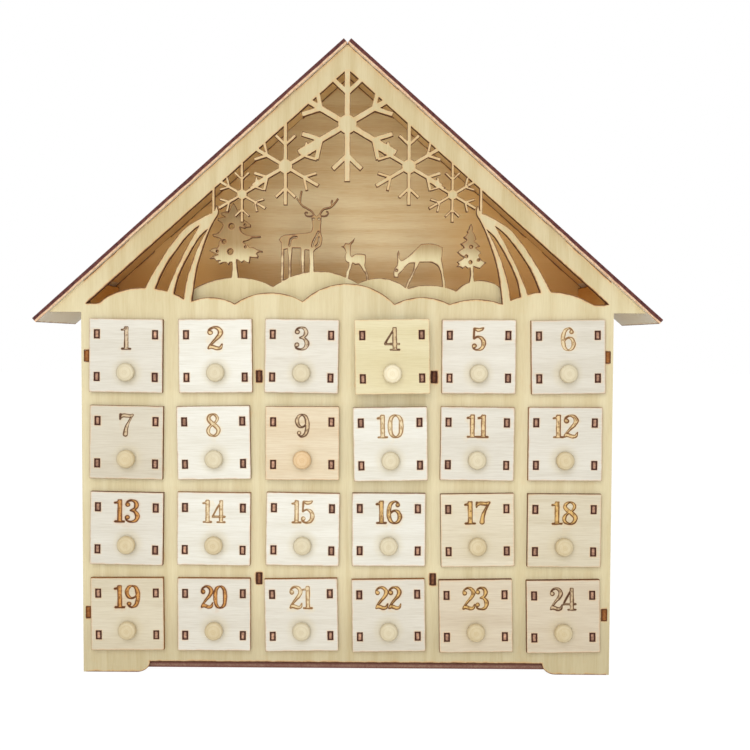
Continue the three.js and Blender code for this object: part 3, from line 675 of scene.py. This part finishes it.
# Ends of the roof boards: the outer veneers charred, the inner one pale
def roofEdgeMaterial():
    material, tree = newMaterial("roofEdge")
    where = objectPlace(tree)
    streak = noise(tree, where, *roofEnd["streak"])
    share = eased(tree, streak, *roofEnd["streakSpread"])
    burnt = mixed(tree, share, roofEnd["char"], roofEnd["toast"])
    pale = mixed(tree, share, roofEnd["pale"], roofEnd["blush"])
    wander = less(tree, noise(tree, where, *roofEnd["wander"]), 0.5)
    depth = maths(tree, "ADD", attributeOf(tree, "depth"),
                  times(tree, wander, roofEnd["wanderReach"]))
    shown = mixed(tree, eased(tree, depth, *roofEnd["step"]), pale, burnt)
    dress(tree, shown, streak, "roofEdge")
    return material


charTone, toastTone = (62, 34, 20), (150, 98, 60)
faces = {name: faceMaterial(name, look) for name, look in faceLooks.items()}
burntEdge = edgeMaterial("burntEdge", charTone, toastTone)
roofEdge = roofEdgeMaterial()
baseEdge = edgeMaterial("baseEdge", (112, 66, 58), (160, 128, 108))
# tab ends: charred, and their dark border is also painted shadow of the gap in the slot
tabEdge = edgeMaterial("tabEdge", (62, 30, 26), (226, 178, 146), 0.0)
wallEdge = edgeMaterial("wallEdge", (104, 58, 26), (190, 126, 68), 0.35)
postEdge = edgeMaterial("postEdge", (58, 30, 24), (150, 98, 64), 0.1)
print("materials ready")


# House

# The gable is drawn a little steeper than it was cut
gable = {"foot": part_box("attic_floor")[1][2] / mm, "lift": 0.012}


def steeper(vertices):
    above = np.maximum(vertices[:, 2] - gable["foot"], 0)
    vertices[:, 2] += gable["lift"] * above
    return vertices


def roofAxes(side):
    # In a roof board's plane: along the house, and down the slope; then out through the board
    down = (side * math.cos(roofSlope), 0, -math.sin(roofSlope))
    out = (side * math.sin(roofSlope), 0, math.cos(roofSlope))
    return ((0, 1, 0), down, out)


def dressedBoard(node, axes, materials):
    places, edges, span = boardOutline(node, axes)
    outline = refined(places, edges, board)
    vertices, flats, walls, values = solidBoard(*outline, span, axes)
    piece = pieceMesh(node + "_board", steeper(vertices), [(flats, 0), (walls, 1)], values)
    finishPiece(piece, "house", node, materials)
    print("board", piece.name, len(flats) + len(walls), "triangles")


inner = ("inner_wood", "innerFace")
houseBoards = [
    ("front_panel", acrossAxes, "front_wood", "frontFace", burntEdge),
    ("scene_panel", acrossAxes, "scene_wood", "sceneFace", burntEdge),
    ("back_panel", acrossAxes, "inner_wood", "backFace", burntEdge),
    ("side_left", lengthwaysAxes, *inner, wallEdge),
    ("side_right", lengthwaysAxes, *inner, wallEdge),
    ("base_board", levelAxes, *inner, baseEdge),
    ("attic_floor", levelAxes, *inner, burntEdge),
    ("roof_left", roofAxes(-1), "roof_wood", "roofFace", roofEdge),
    ("roof_right", roofAxes(1), "roof_wood", "roofFace", roofEdge),
    ("divider_left", lengthwaysAxes, *inner, postEdge),
    ("divider_right", lengthwaysAxes, *inner, postEdge),
]
for node, axes, slotName, face, edge in houseBoards:
    dressedBoard(node, axes, [faces[face], edge])

grid = {
    "depth": 0.4,  # one tone for the whole thickness of an edge
    "rim": 0.3,
    "edgeFrom": (0.7, 0.8),  # how far a face looks to the front or back before it is an edge
}


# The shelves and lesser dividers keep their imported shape; their front and back edges are charred
def gridMaterial():
    material, tree = newMaterial("gridWood")
    where, wood = woodOf(tree, faceLooks["innerFace"])
    ply = groupNode(tree, plyEdge, {
        "Depth": grid["depth"], "Vector": where, "Rim": grid["rim"],
        "Char": charTone, "Toast": toastTone})
    facing = partsOf(tree, addNode(tree, "NewGeometry").outputs["True Normal"])["Y"]
    isEdge = eased(tree, maths(tree, "ABSOLUTE", facing), *grid["edgeFrom"])
    shown = mixed(tree, isEdge, wood["Color"], ply["Color"])
    dress(tree, shown, wood["Height"], "grid")
    return material


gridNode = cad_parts["drawer_grid"]
gridNode.data.materials.clear()
gridNode.data.materials.append(gridMaterial())


# Numerals

# Strokes are curves through points, each with the stroke's width there, and dots are places
# with a radius: all in hundredths of the numeral's height. A 9 is a 6 turned over.
numerals = {
    "0": [[(30, 97.5, 5), (12, 85, 12), (7, 50, 16), (12, 15, 12), (30, 2.5, 5), (48, 15, 12),
           (53, 50, 16), (48, 85, 12), (30, 97.5, 5)]],
    "1": [[(25, 99, 15), (25, 50, 15), (25, 3, 15)],
          [(5, 2.5, 5), (25, 3, 6), (45, 2.5, 5)],
          [(26, 96, 10), (18, 88, 7), (3, 85, 5)]],
    "2": [[(6, 74, 5), (10, 88, 5), (26, 97.5, 6), (43, 92, 12), (51, 76, 16), (44, 58, 13),
           (27, 38, 8), (10, 16, 5), (5, 3, 4)],
          [(6, 5, 5), (18, 12, 14), (36, 6, 13), (50, 8, 10), (57, 25, 3)]],
    "3": [[(7, 80, 4), (14, 93, 4.5), (29, 97.5, 6), (43, 91, 12), (48, 76, 15), (41, 60, 10),
           (24, 53, 4)],
          [(22, 53, 4), (40, 50, 10), (52, 30, 16), (45, 9, 12), (27, 2.5, 5.5), (11, 7, 5),
           (5, 20, 4)]],
    "4": [[(42, 95, 5), (20, 60, 4.5), (3, 28, 4.5)],
          [(2, 27, 6), (30, 27, 6), (60, 27, 6)],
          [(41, 98, 13), (41, 50, 14), (41, 3, 14)],
          [(22, 2.5, 5), (41, 3, 6), (60, 2.5, 5)]],
    "5": [[(10, 96, 5), (26, 90, 13), (40, 92, 11), (50, 98.5, 3)],
          [(10, 97, 5), (9, 74, 4.5), (8, 50, 4.5)],
          [(8, 51, 4), (25, 60, 5), (43, 52, 12), (51, 32, 16), (43, 10, 12), (25, 2.5, 5.5),
           (10, 7, 5), (4, 19, 4)]],
    "6": [[(49, 84, 4), (42, 94, 4.5), (31, 97.5, 6), (16, 87, 12), (8, 62, 15), (8, 36, 15),
           (15, 12, 12), (30, 2.5, 5), (46, 10, 11), (53, 30, 15), (46, 50, 11), (32, 57, 5),
           (18, 50, 4.5), (10, 36, 4)]],
    "7": [[(7, 78, 3), (16, 90, 13), (30, 90, 13), (44, 89, 12), (56, 96, 5)],
          [(6, 98, 3.5), (5.5, 85, 3.5), (6, 72, 3.5)],
          [(56, 96, 4), (42, 68, 6), (30, 36, 12), (26, 4, 16)]],
    "8": [[(30, 97.5, 5), (14, 90, 10), (10, 76, 13), (20, 62, 15), (38, 48, 16), (52, 30, 15),
           (46, 10, 11), (30, 2.5, 5), (12, 10, 10), (7, 27, 13), (17, 45, 8), (38, 60, 7),
           (48, 76, 10), (44, 90, 9), (30, 97.5, 5)]],
}
numeralDots = {
    "2": [(13, 74, 8.5)], "3": [(13, 78, 8), (12, 22, 8)], "5": [(11, 20, 8)],
    "6": [(44, 82, 7.5)], "7": [(26, 7, 8)],
}
figures = {
    "units": 100,  # of the tables, in a numeral's height
    "spacing": 0.025,  # of the points along a stroke
    "fewest": 4,  # points made for each of a stroke's own
    "dotSides": 20,
    "turnedAbout": (0.6, 1.0),  # the far corner of a 6, which a 9 starts from
    "between": 0.02,  # the two figures of a number
}


def strokeOutline(stroke):
    # A Catmull-Rom curve through the points, widened to each side by half its own width
    stroke = np.array(stroke, dtype=float) / figures["units"]
    points, widths = stroke[:, :2], stroke[:, 2]
    closed = np.allclose(points[0], points[-1])
    slope = np.gradient(points, axis=0)
    if closed:
        slope[0] = slope[-1] = (points[1] - points[-2]) / 2
    longest = np.linalg.norm(np.diff(points, axis=0), axis=1).max()
    steps = max(figures["fewest"], int(longest / figures["spacing"]))
    t = np.tile(np.arange(steps) / steps, len(points) - 1)[:, None]
    i = np.repeat(np.arange(len(points) - 1), steps)
    line = hermite(t, points[i], slope[i], points[i + 1], slope[i + 1])
    share = 3 * t[:, 0] ** 2 - 2 * t[:, 0] ** 3
    wide = widths[i] + (widths[i + 1] - widths[i]) * share
    line = joined([line, points[-1:]])
    wide = joined([wide, widths[-1:]])
    heading = np.gradient(line, axis=0)
    if closed:
        heading[0] = heading[-1] = line[1] - line[-2]
    side = leftOf(unit(heading)) * wide[:, None] / 2
    return joined([line + side, (line - side)[::-1]])


def numeralOutlines(text):
    # Closed outlines of a number's strokes and dots, from its left end and its foot, and its width
    outlines, pen, between = [], 0.0, figures["between"]
    angle = np.linspace(0, 2 * np.pi, figures["dotSides"] + 1)[:-1]
    for figure in text:
        shape = "6" if figure == "9" else figure
        parts = [strokeOutline(stroke) for stroke in numerals[shape]]
        for dot in numeralDots.get(shape, []):
            x, y, radius = np.array(dot, dtype=float) / figures["units"]
            parts.append(columns(x + radius * np.cos(angle), y + radius * np.sin(angle)))
        if figure == "9":
            parts = [np.array(figures["turnedAbout"]) - part for part in parts]
        left = min(part[:, 0].min() for part in parts)
        right = max(part[:, 0].max() for part in parts)
        outlines += [part + np.array([pen - left, 0]) for part in parts]
        pen += right - left + between
    return outlines, pen - between


# Drawer plates

def drawerPiece(number, name, shape, node, materials):
    piece = pieceMesh(f"{name}_{number:02d}", *shape)
    drawer = f"drawer_{number:02d}"
    finishPiece(piece, drawer, f"{drawer}_{node}", materials)
    return piece


plate = {
    "thickness": 2.5,
    "step": 1.2,  # between points of the rim
    "numberHeight": 10.8,
    "numberFoot": 3.0,  # above the plate's centre
    "numberWidth": {1: 4.7, 2: 7.1, 3: 6.7, 4: 7.1, 5: 6.3, 6: 6.7, 7: 6.6, 8: 6.4, 9: 6.6,
                    11: 10.2, 12: 12.0, 13: 12.1, 14: 10.8, 15: 10.8, 21: 10.8},
    "twoFigures": 12.3,  # width of the other numbers of two figures
    "engraving": 0.45,  # depth
    "stepDepth": 0.2,  # how deep in the ply the floor of a number counts
    "rings": (0.13, 0.34, 0.7),
    "knobDrop": 7.8,  # from the plate's centre to the knob's
    # Painted shadow round the knob, browner on the plate: metres from its axis, share, colour
    "knobShadow": (0.0042, 0.0085),
    "knobShadowShare": 0.35,
    "knobTone": (212, 200, 166),
    "blotch": ((520.0, 2.0, 0.6), (0.46, 0.64), 0.0, 0.75),  # dark blotches in the number
    "numberHalo": {"Face": 0.5, "Number": 0.55},  # its share outside and inside a number
    "numberReach": {"HaloReach": 0.9, "LineReach": 0.36},
    "toneSpread": 3,  # how far a plate's tone may differ from its group's
}

plateLook = {"along": (0.04, 1, 1), "fibres": 0.4, "bands": 0.3, "pores": 0.25}
plateScorch = {"Halo": (232, 190, 140), "HaloReach": 0.8, "HaloShare": 0.45,
               "Line": (122, 76, 46), "LineReach": 0.2, "LineShare": 0.7}

# Light and dark of the wood, and the plates that have it
plateTones = {
    "white": ((234, 232, 222), (213, 208, 192), (2, 8, 10, 14, 15, 16)),
    "pale": ((226, 222, 210), (205, 198, 182), (1, 3, 5, 11, 12, 13, 20, 21)),
    "grey": ((220, 215, 202), (198, 190, 172), (6, 22)),
    "beige": ((222, 213, 190), (200, 187, 158), (17, 18, 19)),
    "dim": ((212, 205, 187), (192, 181, 159), (7,)),
    "sand": ((219, 207, 184), (197, 180, 154), (23, 24)),
    "straw": ((222, 212, 174), (202, 188, 142), (4,)),
    "peach": ((228, 214, 186), (208, 184, 148), (9,)),
}

# How the laser left each number: colour and share of the burn inside it and of its outline
inkTones = {
    "deep": ((208, 144, 64), 0.92, (96, 50, 16), 0.97, (13, 19, 20)),
    "gold": ((226, 180, 98), 0.85, (104, 60, 22), 0.97, (16, 17, 18, 22, 23)),
    "warm": ((238, 202, 134), 0.7, (116, 68, 28), 0.96, (2, 5, 11, 12)),
    "dark": ((214, 182, 136), 0.6, (86, 48, 22), 0.95, (1, 3, 4, 7, 9, 24)),
    "faint": ((240, 212, 152), 0.6, (146, 100, 52), 0.9, (6, 8, 10, 14, 15, 21)),
}

# Side edges of the plates: charred, and made darker still as painted shade beside each plate
plateEdges = {
    "dark": (edgeMaterial("plateEdgeDark", (84, 46, 26), (146, 92, 52)),
             (1, 3, 7, 8, 9, 10, 13, 16, 17, 18, 23, 24)),
    "tan": (edgeMaterial("plateEdgeTan", (116, 70, 34), (198, 142, 82)),
            (2, 4, 5, 6, 11, 12, 14, 15, 19, 20, 21, 22)),
}


def toneOf(table, number):
    return next(row[:-1] for row in table.values() if number in row[-1])


def plateMaterials(number, knobAt):
    # The plate's face, and the floor of its number
    light, dark = toneOf(plateTones, number)
    fill, fillShare, line, lineShare = toneOf(inkTones, number)
    shade = dice.uniform(-plate["toneSpread"], plate["toneSpread"])
    look = {**plateLook, "light": [v + shade for v in light], "dark": [v + shade for v in dark],
            "shift": tuple(dice.uniform(-1, 1, 3))}
    made = []
    for part, haloShare in plate["numberHalo"].items():
        material, tree = newMaterial(f"plate{part}{number:02d}")
        where, wood = woodOf(tree, look)
        shown = wood["Color"]
        if part == "Number":
            shown = mixed(tree, fillShare, shown, fill)
            blotch = times(tree, patches(tree, where, *plate["blotch"]), lineShare)
            shown = mixed(tree, blotch, shown, line)
        else:
            # painted shadow of the knob on the plate
            away = addNode(tree, "VectorMath", {0: where, 1: knobAt},
                           operation="DISTANCE").outputs["Value"]
            soft = eased(tree, away, *plate["knobShadow"], plate["knobShadowShare"], 0.0)
            shown = mixed(tree, soft, shown, plate["knobTone"])
            shown = scorched(tree, where, shown, "cutDistance", plateScorch)
        shown = scorched(tree, where, shown, "inkDistance", {
            "Halo": fill, "HaloShare": haloShare, "Line": line, "LineShare": lineShare,
            **plate["numberReach"]})
        dress(tree, shown, wood["Height"], "plate")
        made.append(material)
    return made


def joinedLoops(loops):
    # Several closed outlines as one list of points, and each point's follower
    starts = np.cumsum([0] + [len(loop) for loop in loops])
    return joined(loops), joined([
        np.roll(np.arange(len(loop)), -1) + start for loop, start in zip(loops, starts)])


def insideAny(points, loops):
    hit = np.zeros(len(points), dtype=bool)
    for loop in loops:
        hit |= windings(points, loop, np.roll(loop, -1, axis=0)) != 0
    return hit


def turnOf(a, b):
    # How far a loose plate is turned in its window, from its longest edge, as a 2 by 2 matrix
    edge = (b - a)[np.linalg.norm(b - a, axis=1).argmax()]
    angle = math.atan2(edge[1], edge[0])
    angle -= round(angle / (math.pi / 2)) * math.pi / 2
    return np.array([[math.cos(angle), -math.sin(angle)], [math.sin(angle), math.cos(angle)]])


def platePiece(number):
    # Makes a plate with its number sunk in it; gives its centre, its turn and its front
    places, edges, span = boardOutline(f"drawer_{number:02d}_front", acrossAxes, atBack=True)
    step = plate["step"]
    points, following, inward = refined(places, edges,
                                        {**board, "coarseStep": step, "fineStep": step})
    rim = (points, points[following])
    centre = (points.min(axis=0) + points.max(axis=0)) / 2
    turn = turnOf(*rim)
    outlines, width = numeralOutlines(str(number))
    wide = plate["numberWidth"].get(number, plate["twoFigures"])
    scale = np.array([wide / width, plate["numberHeight"]])
    corner = np.array([-wide / 2, plate["numberFoot"]])
    outlines = [(outline * scale + corner) @ turn.T + centre for outline in outlines]
    ink, inkNext = joinedLoops(outlines)
    allEdges = joined([
        columns(np.arange(len(points)), following),
        columns(np.arange(len(ink)), inkNext) + len(points)])
    base = joined([points, ink])

    # First pass: where the strokes' joint outline runs
    flat, triangles, middle = triangulated(base, allEdges)
    border = openEdges(triangles[insideAny(middle, outlines)], len(flat))
    a, b = flat[border[:, 0]], flat[border[:, 1]]
    left = leftOf(unit(b - a))
    inkRows = besideRows((a + b) / 2, [-left, left], plate["rings"], a, b)
    rimRows = besideRows(points, [inward], board["rings"], *rim)

    # Second pass: the same edges with rows of points beside them
    flat, triangles, middle = triangulated(joined([base, inkRows, rimRows]), allEdges)
    kept = windings(middle, *rim) != 0
    triangles, middle = triangles[kept], middle[kept]
    isInk = insideAny(middle, outlines)
    used, fresh = np.unique(triangles, return_inverse=True)
    flat, triangles = flat[used], fresh.reshape(-1, 3)
    count = len(flat)
    top, floor = triangles[~isInk], triangles[isInk]
    toCut, toInk = distanceTo(flat, *rim), distanceTo(flat, a, b)
    front = span[1] - plate["thickness"]
    basis = np.array(acrossAxes, dtype=float)
    vertices = joined([flat @ basis[:2] + level * basis[2] for level in (
        front, span[1], front + plate["engraving"])])
    walls = ribbon(openEdges(triangles, count), count)
    steps = ribbon(openEdges(floor, count), 2 * count)[:, [0, 2, 1]]
    groups = [(top, 0), (triangles[:, ::-1] + count, 0), (walls, 1),
              (floor + 2 * count, 2), (steps, 1)]
    used, fresh = np.unique(joined([part for part, _ in groups]), return_inverse=True)
    ends = np.cumsum([len(part) for part, _ in groups])[:-1]
    parts = np.split(fresh.reshape(-1, 3), ends)
    groups = [(part, slotIndex) for part, (_, slotIndex) in zip(parts, groups)]
    far = np.full(count, limits["farthest"])
    values = {
        "cutDistance": np.tile(toCut, 3)[used],
        "inkDistance": joined([toInk, far, toInk])[used],
        "depth": np.repeat([0.0, 1.0, plate["stepDepth"]], count)[used]}
    knobX, knobZ = knobAxis(centre, turn)
    face, inNumber = plateMaterials(number, (knobX * mm, front * mm, knobZ * mm))
    drawerPiece(number, "plate", (vertices[used], groups, values), "front",
                [face, *toneOf(plateEdges, number), inNumber])
    return centre, turn, front


# Knobs

knob = {
    "radius": 4.35,
    "neck": 2.5,  # radius of the neck
    # Profiles: shares of the neck's or the knob's radius, and distances out from the plate
    "stem": ((0, 0.02), (1, 0.02), (1, 0.5), (0.92, 0.9), (1.02, 1.3), (1.3, 1.65)),
    "button": ((0.86, 1.95), (0.955, 2.25), (0.99, 2.65), (1, 3.2), (0.995, 3.75),
               (0.965, 4.25), (0.91, 4.65), (0.82, 4.98), (0.7, 5.2), (0.55, 5.34), (0.4, 5.4),
               (0.26, 5.38), (0.12, 5.33), (0, 5.32)),
    "inward": 0.006,  # shift towards the house's middle, as a share of the distance from it
    "middle": (0, 160),
    "around": 40,
    "rings": {"Scale": 1.6, "Detail": 2.0},
    "ringSpread": (0.4, 0.62),
    "ringShare": 0.55,
}

knobLook = {"along": (1, 1, 0.2), "bands": 0.35}
knobTones = {
    "pale": ((238, 228, 200), (222, 208, 170), (4,)),
    "cream": ((222, 212, 184), (206, 192, 158), (1, 2, 3, 5, 6, 8, 10, 11, 15, 16, 21, 22)),
    "honey": ((218, 204, 170), (202, 182, 140), (7, 12, 13, 14, 17, 18, 19, 20, 23, 24)),
    "peach": ((230, 202, 160), (212, 176, 128), (9,)),
}


def knobMaterial(name, light, dark):
    material, tree = newMaterial("knob_" + name)
    _, wood = woodOf(tree, {**knobLook, "light": light, "dark": dark})
    turned = addNode(tree, "TexNoise", {"W": attributeOf(tree, "fromAxis"), **knob["rings"]},
                     noise_dimensions="1D").outputs["Fac"]
    share = eased(tree, turned, *knob["ringSpread"], 0.0, knob["ringShare"])
    shown = mixed(tree, share, wood["Color"], dark)
    dress(tree, shown, turned, "knob")
    return material


knobWoods = {name: (knobMaterial(name, light, dark), numbers)
             for name, (light, dark, numbers) in knobTones.items()}


def knobAxis(centre, turn):
    away = centre - np.array(knob["middle"])
    drop = np.array([0, -plate["knobDrop"]])
    return centre + turn @ (drop - knob["inward"] * away)


def knobPiece(number, centre, turn, front):
    # A profile turned about the knob's axis: stem, neck, rounded button with a dished face
    profile = np.array([(knob[size] * share, out)
                        for size, part in (("neck", "stem"), ("radius", "button"))
                        for share, out in knob[part]])
    around = knob["around"]
    angle = np.arange(around) * 2 * np.pi / around + dice.uniform(0, 1)
    ring = profile[1:-1]
    axisX, axisZ = knobAxis(centre, turn)
    x = axisX + ring[:, 0, None] * np.cos(angle)
    z = axisZ + ring[:, 0, None] * np.sin(angle)
    y = front - np.repeat(ring[:, 1, None], around, axis=1)
    poles = np.array([(axisX, front - out, axisZ) for out in profile[[0, -1], 1]])
    vertices = joined([np.stack([x, y, z], axis=2).reshape(-1, 3), poles])
    a = np.arange((len(ring) - 1) * around)
    b = a + 1 - around * (a % around == around - 1)
    start, end = np.full((2, around), [[len(vertices) - 2], [len(vertices) - 1]])
    triangles = joined([columns(*corners) for corners in (
        (a, b, b + around), (a, b + around, a + around),
        (start, b[:around], a[:around]), (end, a[-around:] + around, b[-around:] + around))])
    radius = joined([np.repeat(ring[:, 0], around), [0.0, 0.0]])
    piece = drawerPiece(number, "knob", (vertices, [(triangles, 0)], {"fromAxis": radius}),
                        "front", toneOf(knobWoods, number))
    piece.data.polygons.foreach_set("use_smooth", np.ones(len(triangles), dtype=bool))


# Drawer boxes

tray = {
    **board,
    "coarseStep": 3.0,
    "fineStep": 1.5,
    "rings": (0.14, 0.5, 1.3),
    "thickness": 2.5,
    "halfWidth": 15.05,
    "low": -15.55,  # heights from the plate's centre
    "high": 13.05,
    "begin": 2.6,  # depths from the plate's front face
    "end": 55.5,
    "tabs": (10.1, -10.1),
    "tabHeight": 4.0,
    "seam": 0.04,
}


def boxOutline(corners):
    # A closed outline, turned so that its inside is on the left
    loop = np.array(corners, dtype=float)
    if crossed(loop, np.roll(loop, -1, axis=0)).sum() < 0:
        loop = loop[::-1]
    index = np.arange(len(loop))
    return refined(loop, columns(index, np.roll(index, -1)), tray)


def oblong(left, low, right, high):
    return boxOutline([(left, low), (right, low), (right, high), (left, high)])


def boxBoards():
    # Two sides with tabs into the plate, a back and a bottom, from the plate's centre and front
    t, seam, x = tray["thickness"], tray["seam"], tray["halfWidth"]
    low, high = tray["low"], tray["high"]
    begin, end = tray["begin"], tray["end"]
    tall = tray["tabHeight"] / 2
    tabs = [(y, z + rise) for z in tray["tabs"]
            for y, rise in ((begin, tall), (0, tall), (0, -tall), (begin, -tall))]
    side = boxOutline([(begin, low), (end, low), (end, high), (begin, high)] + tabs)
    half = x - t - seam
    back = oblong(-half, low, half, high)
    bottom = oblong(-half, begin, half, end - t - seam)
    return [solidBoard(*outline, span, axes, tray) for outline, span, axes in (
        (side, (-x, -x + t), lengthwaysAxes), (side, (x - t, x), lengthwaysAxes),
        (back, (end - t, end), acrossAxes), (bottom, (low, low + t), levelAxes))]


def joinedBoards(boards):
    vertices, flats, walls, values = zip(*boards)
    starts = np.cumsum([0] + [len(part) for part in vertices])
    flats, walls = (joined([part + start for part, start in zip(parts, starts)])
                    for parts in (flats, walls))
    values = {label: joined([part[label] for part in values]) for label in values[0]}
    return joined(vertices), flats, walls, values


boxVertices, boxFlats, boxWalls, boxValues = joinedBoards(boxBoards())
for number in range(1, 25):
    centre, turn, plateFront = platePiece(number)
    knobPiece(number, centre, turn, plateFront)
    across = boxVertices[:, [0, 2]] @ turn.T + centre
    vertices = columns(across[:, 0], boxVertices[:, 1] + plateFront, across[:, 1])
    drawerPiece(number, "tray", (vertices, [(boxFlats, 0), (boxWalls, 1)], boxValues),
                "tray", [faces["trayFace"], tabEdge])
print("drawers ready")


# Camera, floor and light

view = {
    "x": 0.00471,
    "before": 0.452,  # from the front panel to the lens
    "z": 0.1607,
    "turn": (90 - 2.149, 0.182, 0.554),  # degrees: tilt, roll, heading
    "lens": 45.62,
    "sensor": 36,
    "shiftX": 0.0370,
    "clip": (0.01, 50),
}


def makeCamera():
    data = bpy.data.cameras.new("camera")
    data.lens = view["lens"]
    data.sensor_width = view["sensor"]
    data.shift_x = view["shiftX"]
    data.clip_start, data.clip_end = view["clip"]
    camera = newObject("camera", data)
    tilt, roll, heading = (math.radians(v) for v in view["turn"])
    turned = (Matrix.Rotation(heading, 4, "Z") @ Matrix.Rotation(tilt, 4, "X")
              @ Matrix.Rotation(roll, 4, "Z"))
    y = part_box("front_panel")[0][1] - view["before"]
    camera.matrix_world = Matrix.Translation((view["x"], y, view["z"])) @ turned
    scene.camera = camera


stage = {
    "sky": 0.44,
    # A soft window over the lens and a wide lamp beside it: place, the point it faces, size, watts
    "lamps": {
        "window": ((-0.1, -0.75, 0.5), (0, 0, 0.1), 0.5, 2.25),
        "lamp": ((0.0, -0.56, 0.12), (0, 0, 0.14), 0.3, 1.2),
    },
    "floorHalf": 4.0,
    "floorHeight": -0.0004,
    "floorShare": 0.8,  # share of plain white in what the camera sees of the floor
    "floorGlow": 1.2,
    "paper": (234, 231, 225),
    "white": (1, 1, 1, 1),
}


def seenDirectly(tree):
    # 1 where the camera, a mirror or glass sees the surface itself
    path = addNode(tree, "LightPath").outputs
    seen = maths(tree, "MAXIMUM", path["Is Camera Ray"], path["Is Glossy Ray"])
    return maths(tree, "MAXIMUM", seen, path["Is Transmission Ray"])


def emptyTree(holder):
    holder.use_nodes = True
    holder.node_tree.nodes.clear()
    return holder.node_tree


def showBoth(tree, kind, share, first, second):
    # Mixes two shaders into an output of the kind given
    both = addNode(tree, "MixShader", {0: share, 1: first.outputs[0], 2: second.outputs[0]})
    addNode(tree, kind, {"Surface": both.outputs[0]})


def makeFloor():
    half, height = stage["floorHalf"], stage["floorHeight"]
    mesh = bpy.data.meshes.new("floor")
    corners = [(x * half, y * half, height) for x, y in ((-1, -1), (1, -1), (1, 1), (-1, 1))]
    mesh.from_pydata(corners, [], [(0, 1, 2, 3)])
    newObject("floor", mesh)
    material = bpy.data.materials.new("floorPaper")
    tree = emptyTree(material)
    paper = addNode(tree, "BsdfDiffuse", {"Color": stage["paper"]})
    glow = addNode(tree, "Emission", {"Color": stage["white"], "Strength": stage["floorGlow"]})
    share = times(tree, seenDirectly(tree), stage["floorShare"])
    showBoth(tree, "OutputMaterial", share, paper, glow)
    mesh.materials.append(material)


def makeSky():
    # The background is white to the camera and dimmer as a light
    world = bpy.data.worlds.new("studio")
    scene.world = world
    tree = emptyTree(world)
    felt, seen = (addNode(tree, "Background", {"Color": stage["white"], "Strength": strength})
                  for strength in (stage["sky"], 1.0))
    showBoth(tree, "OutputWorld", seenDirectly(tree), felt, seen)


def makeLamps():
    for name, (place, facing, wide, watts) in stage["lamps"].items():
        lamp = bpy.data.lights.new(name, "AREA")
        lamp.energy, lamp.size = watts, wide
        holder = newObject(name, lamp)
        holder.location = place
        way = Vector(facing) - Vector(place)
        holder.rotation_euler = way.to_track_quat("-Z", "Y").to_euler()


makeCamera()
makeFloor()
makeSky()
makeLamps()
scene.view_settings.view_transform = "Standard"
print("camera and light ready")
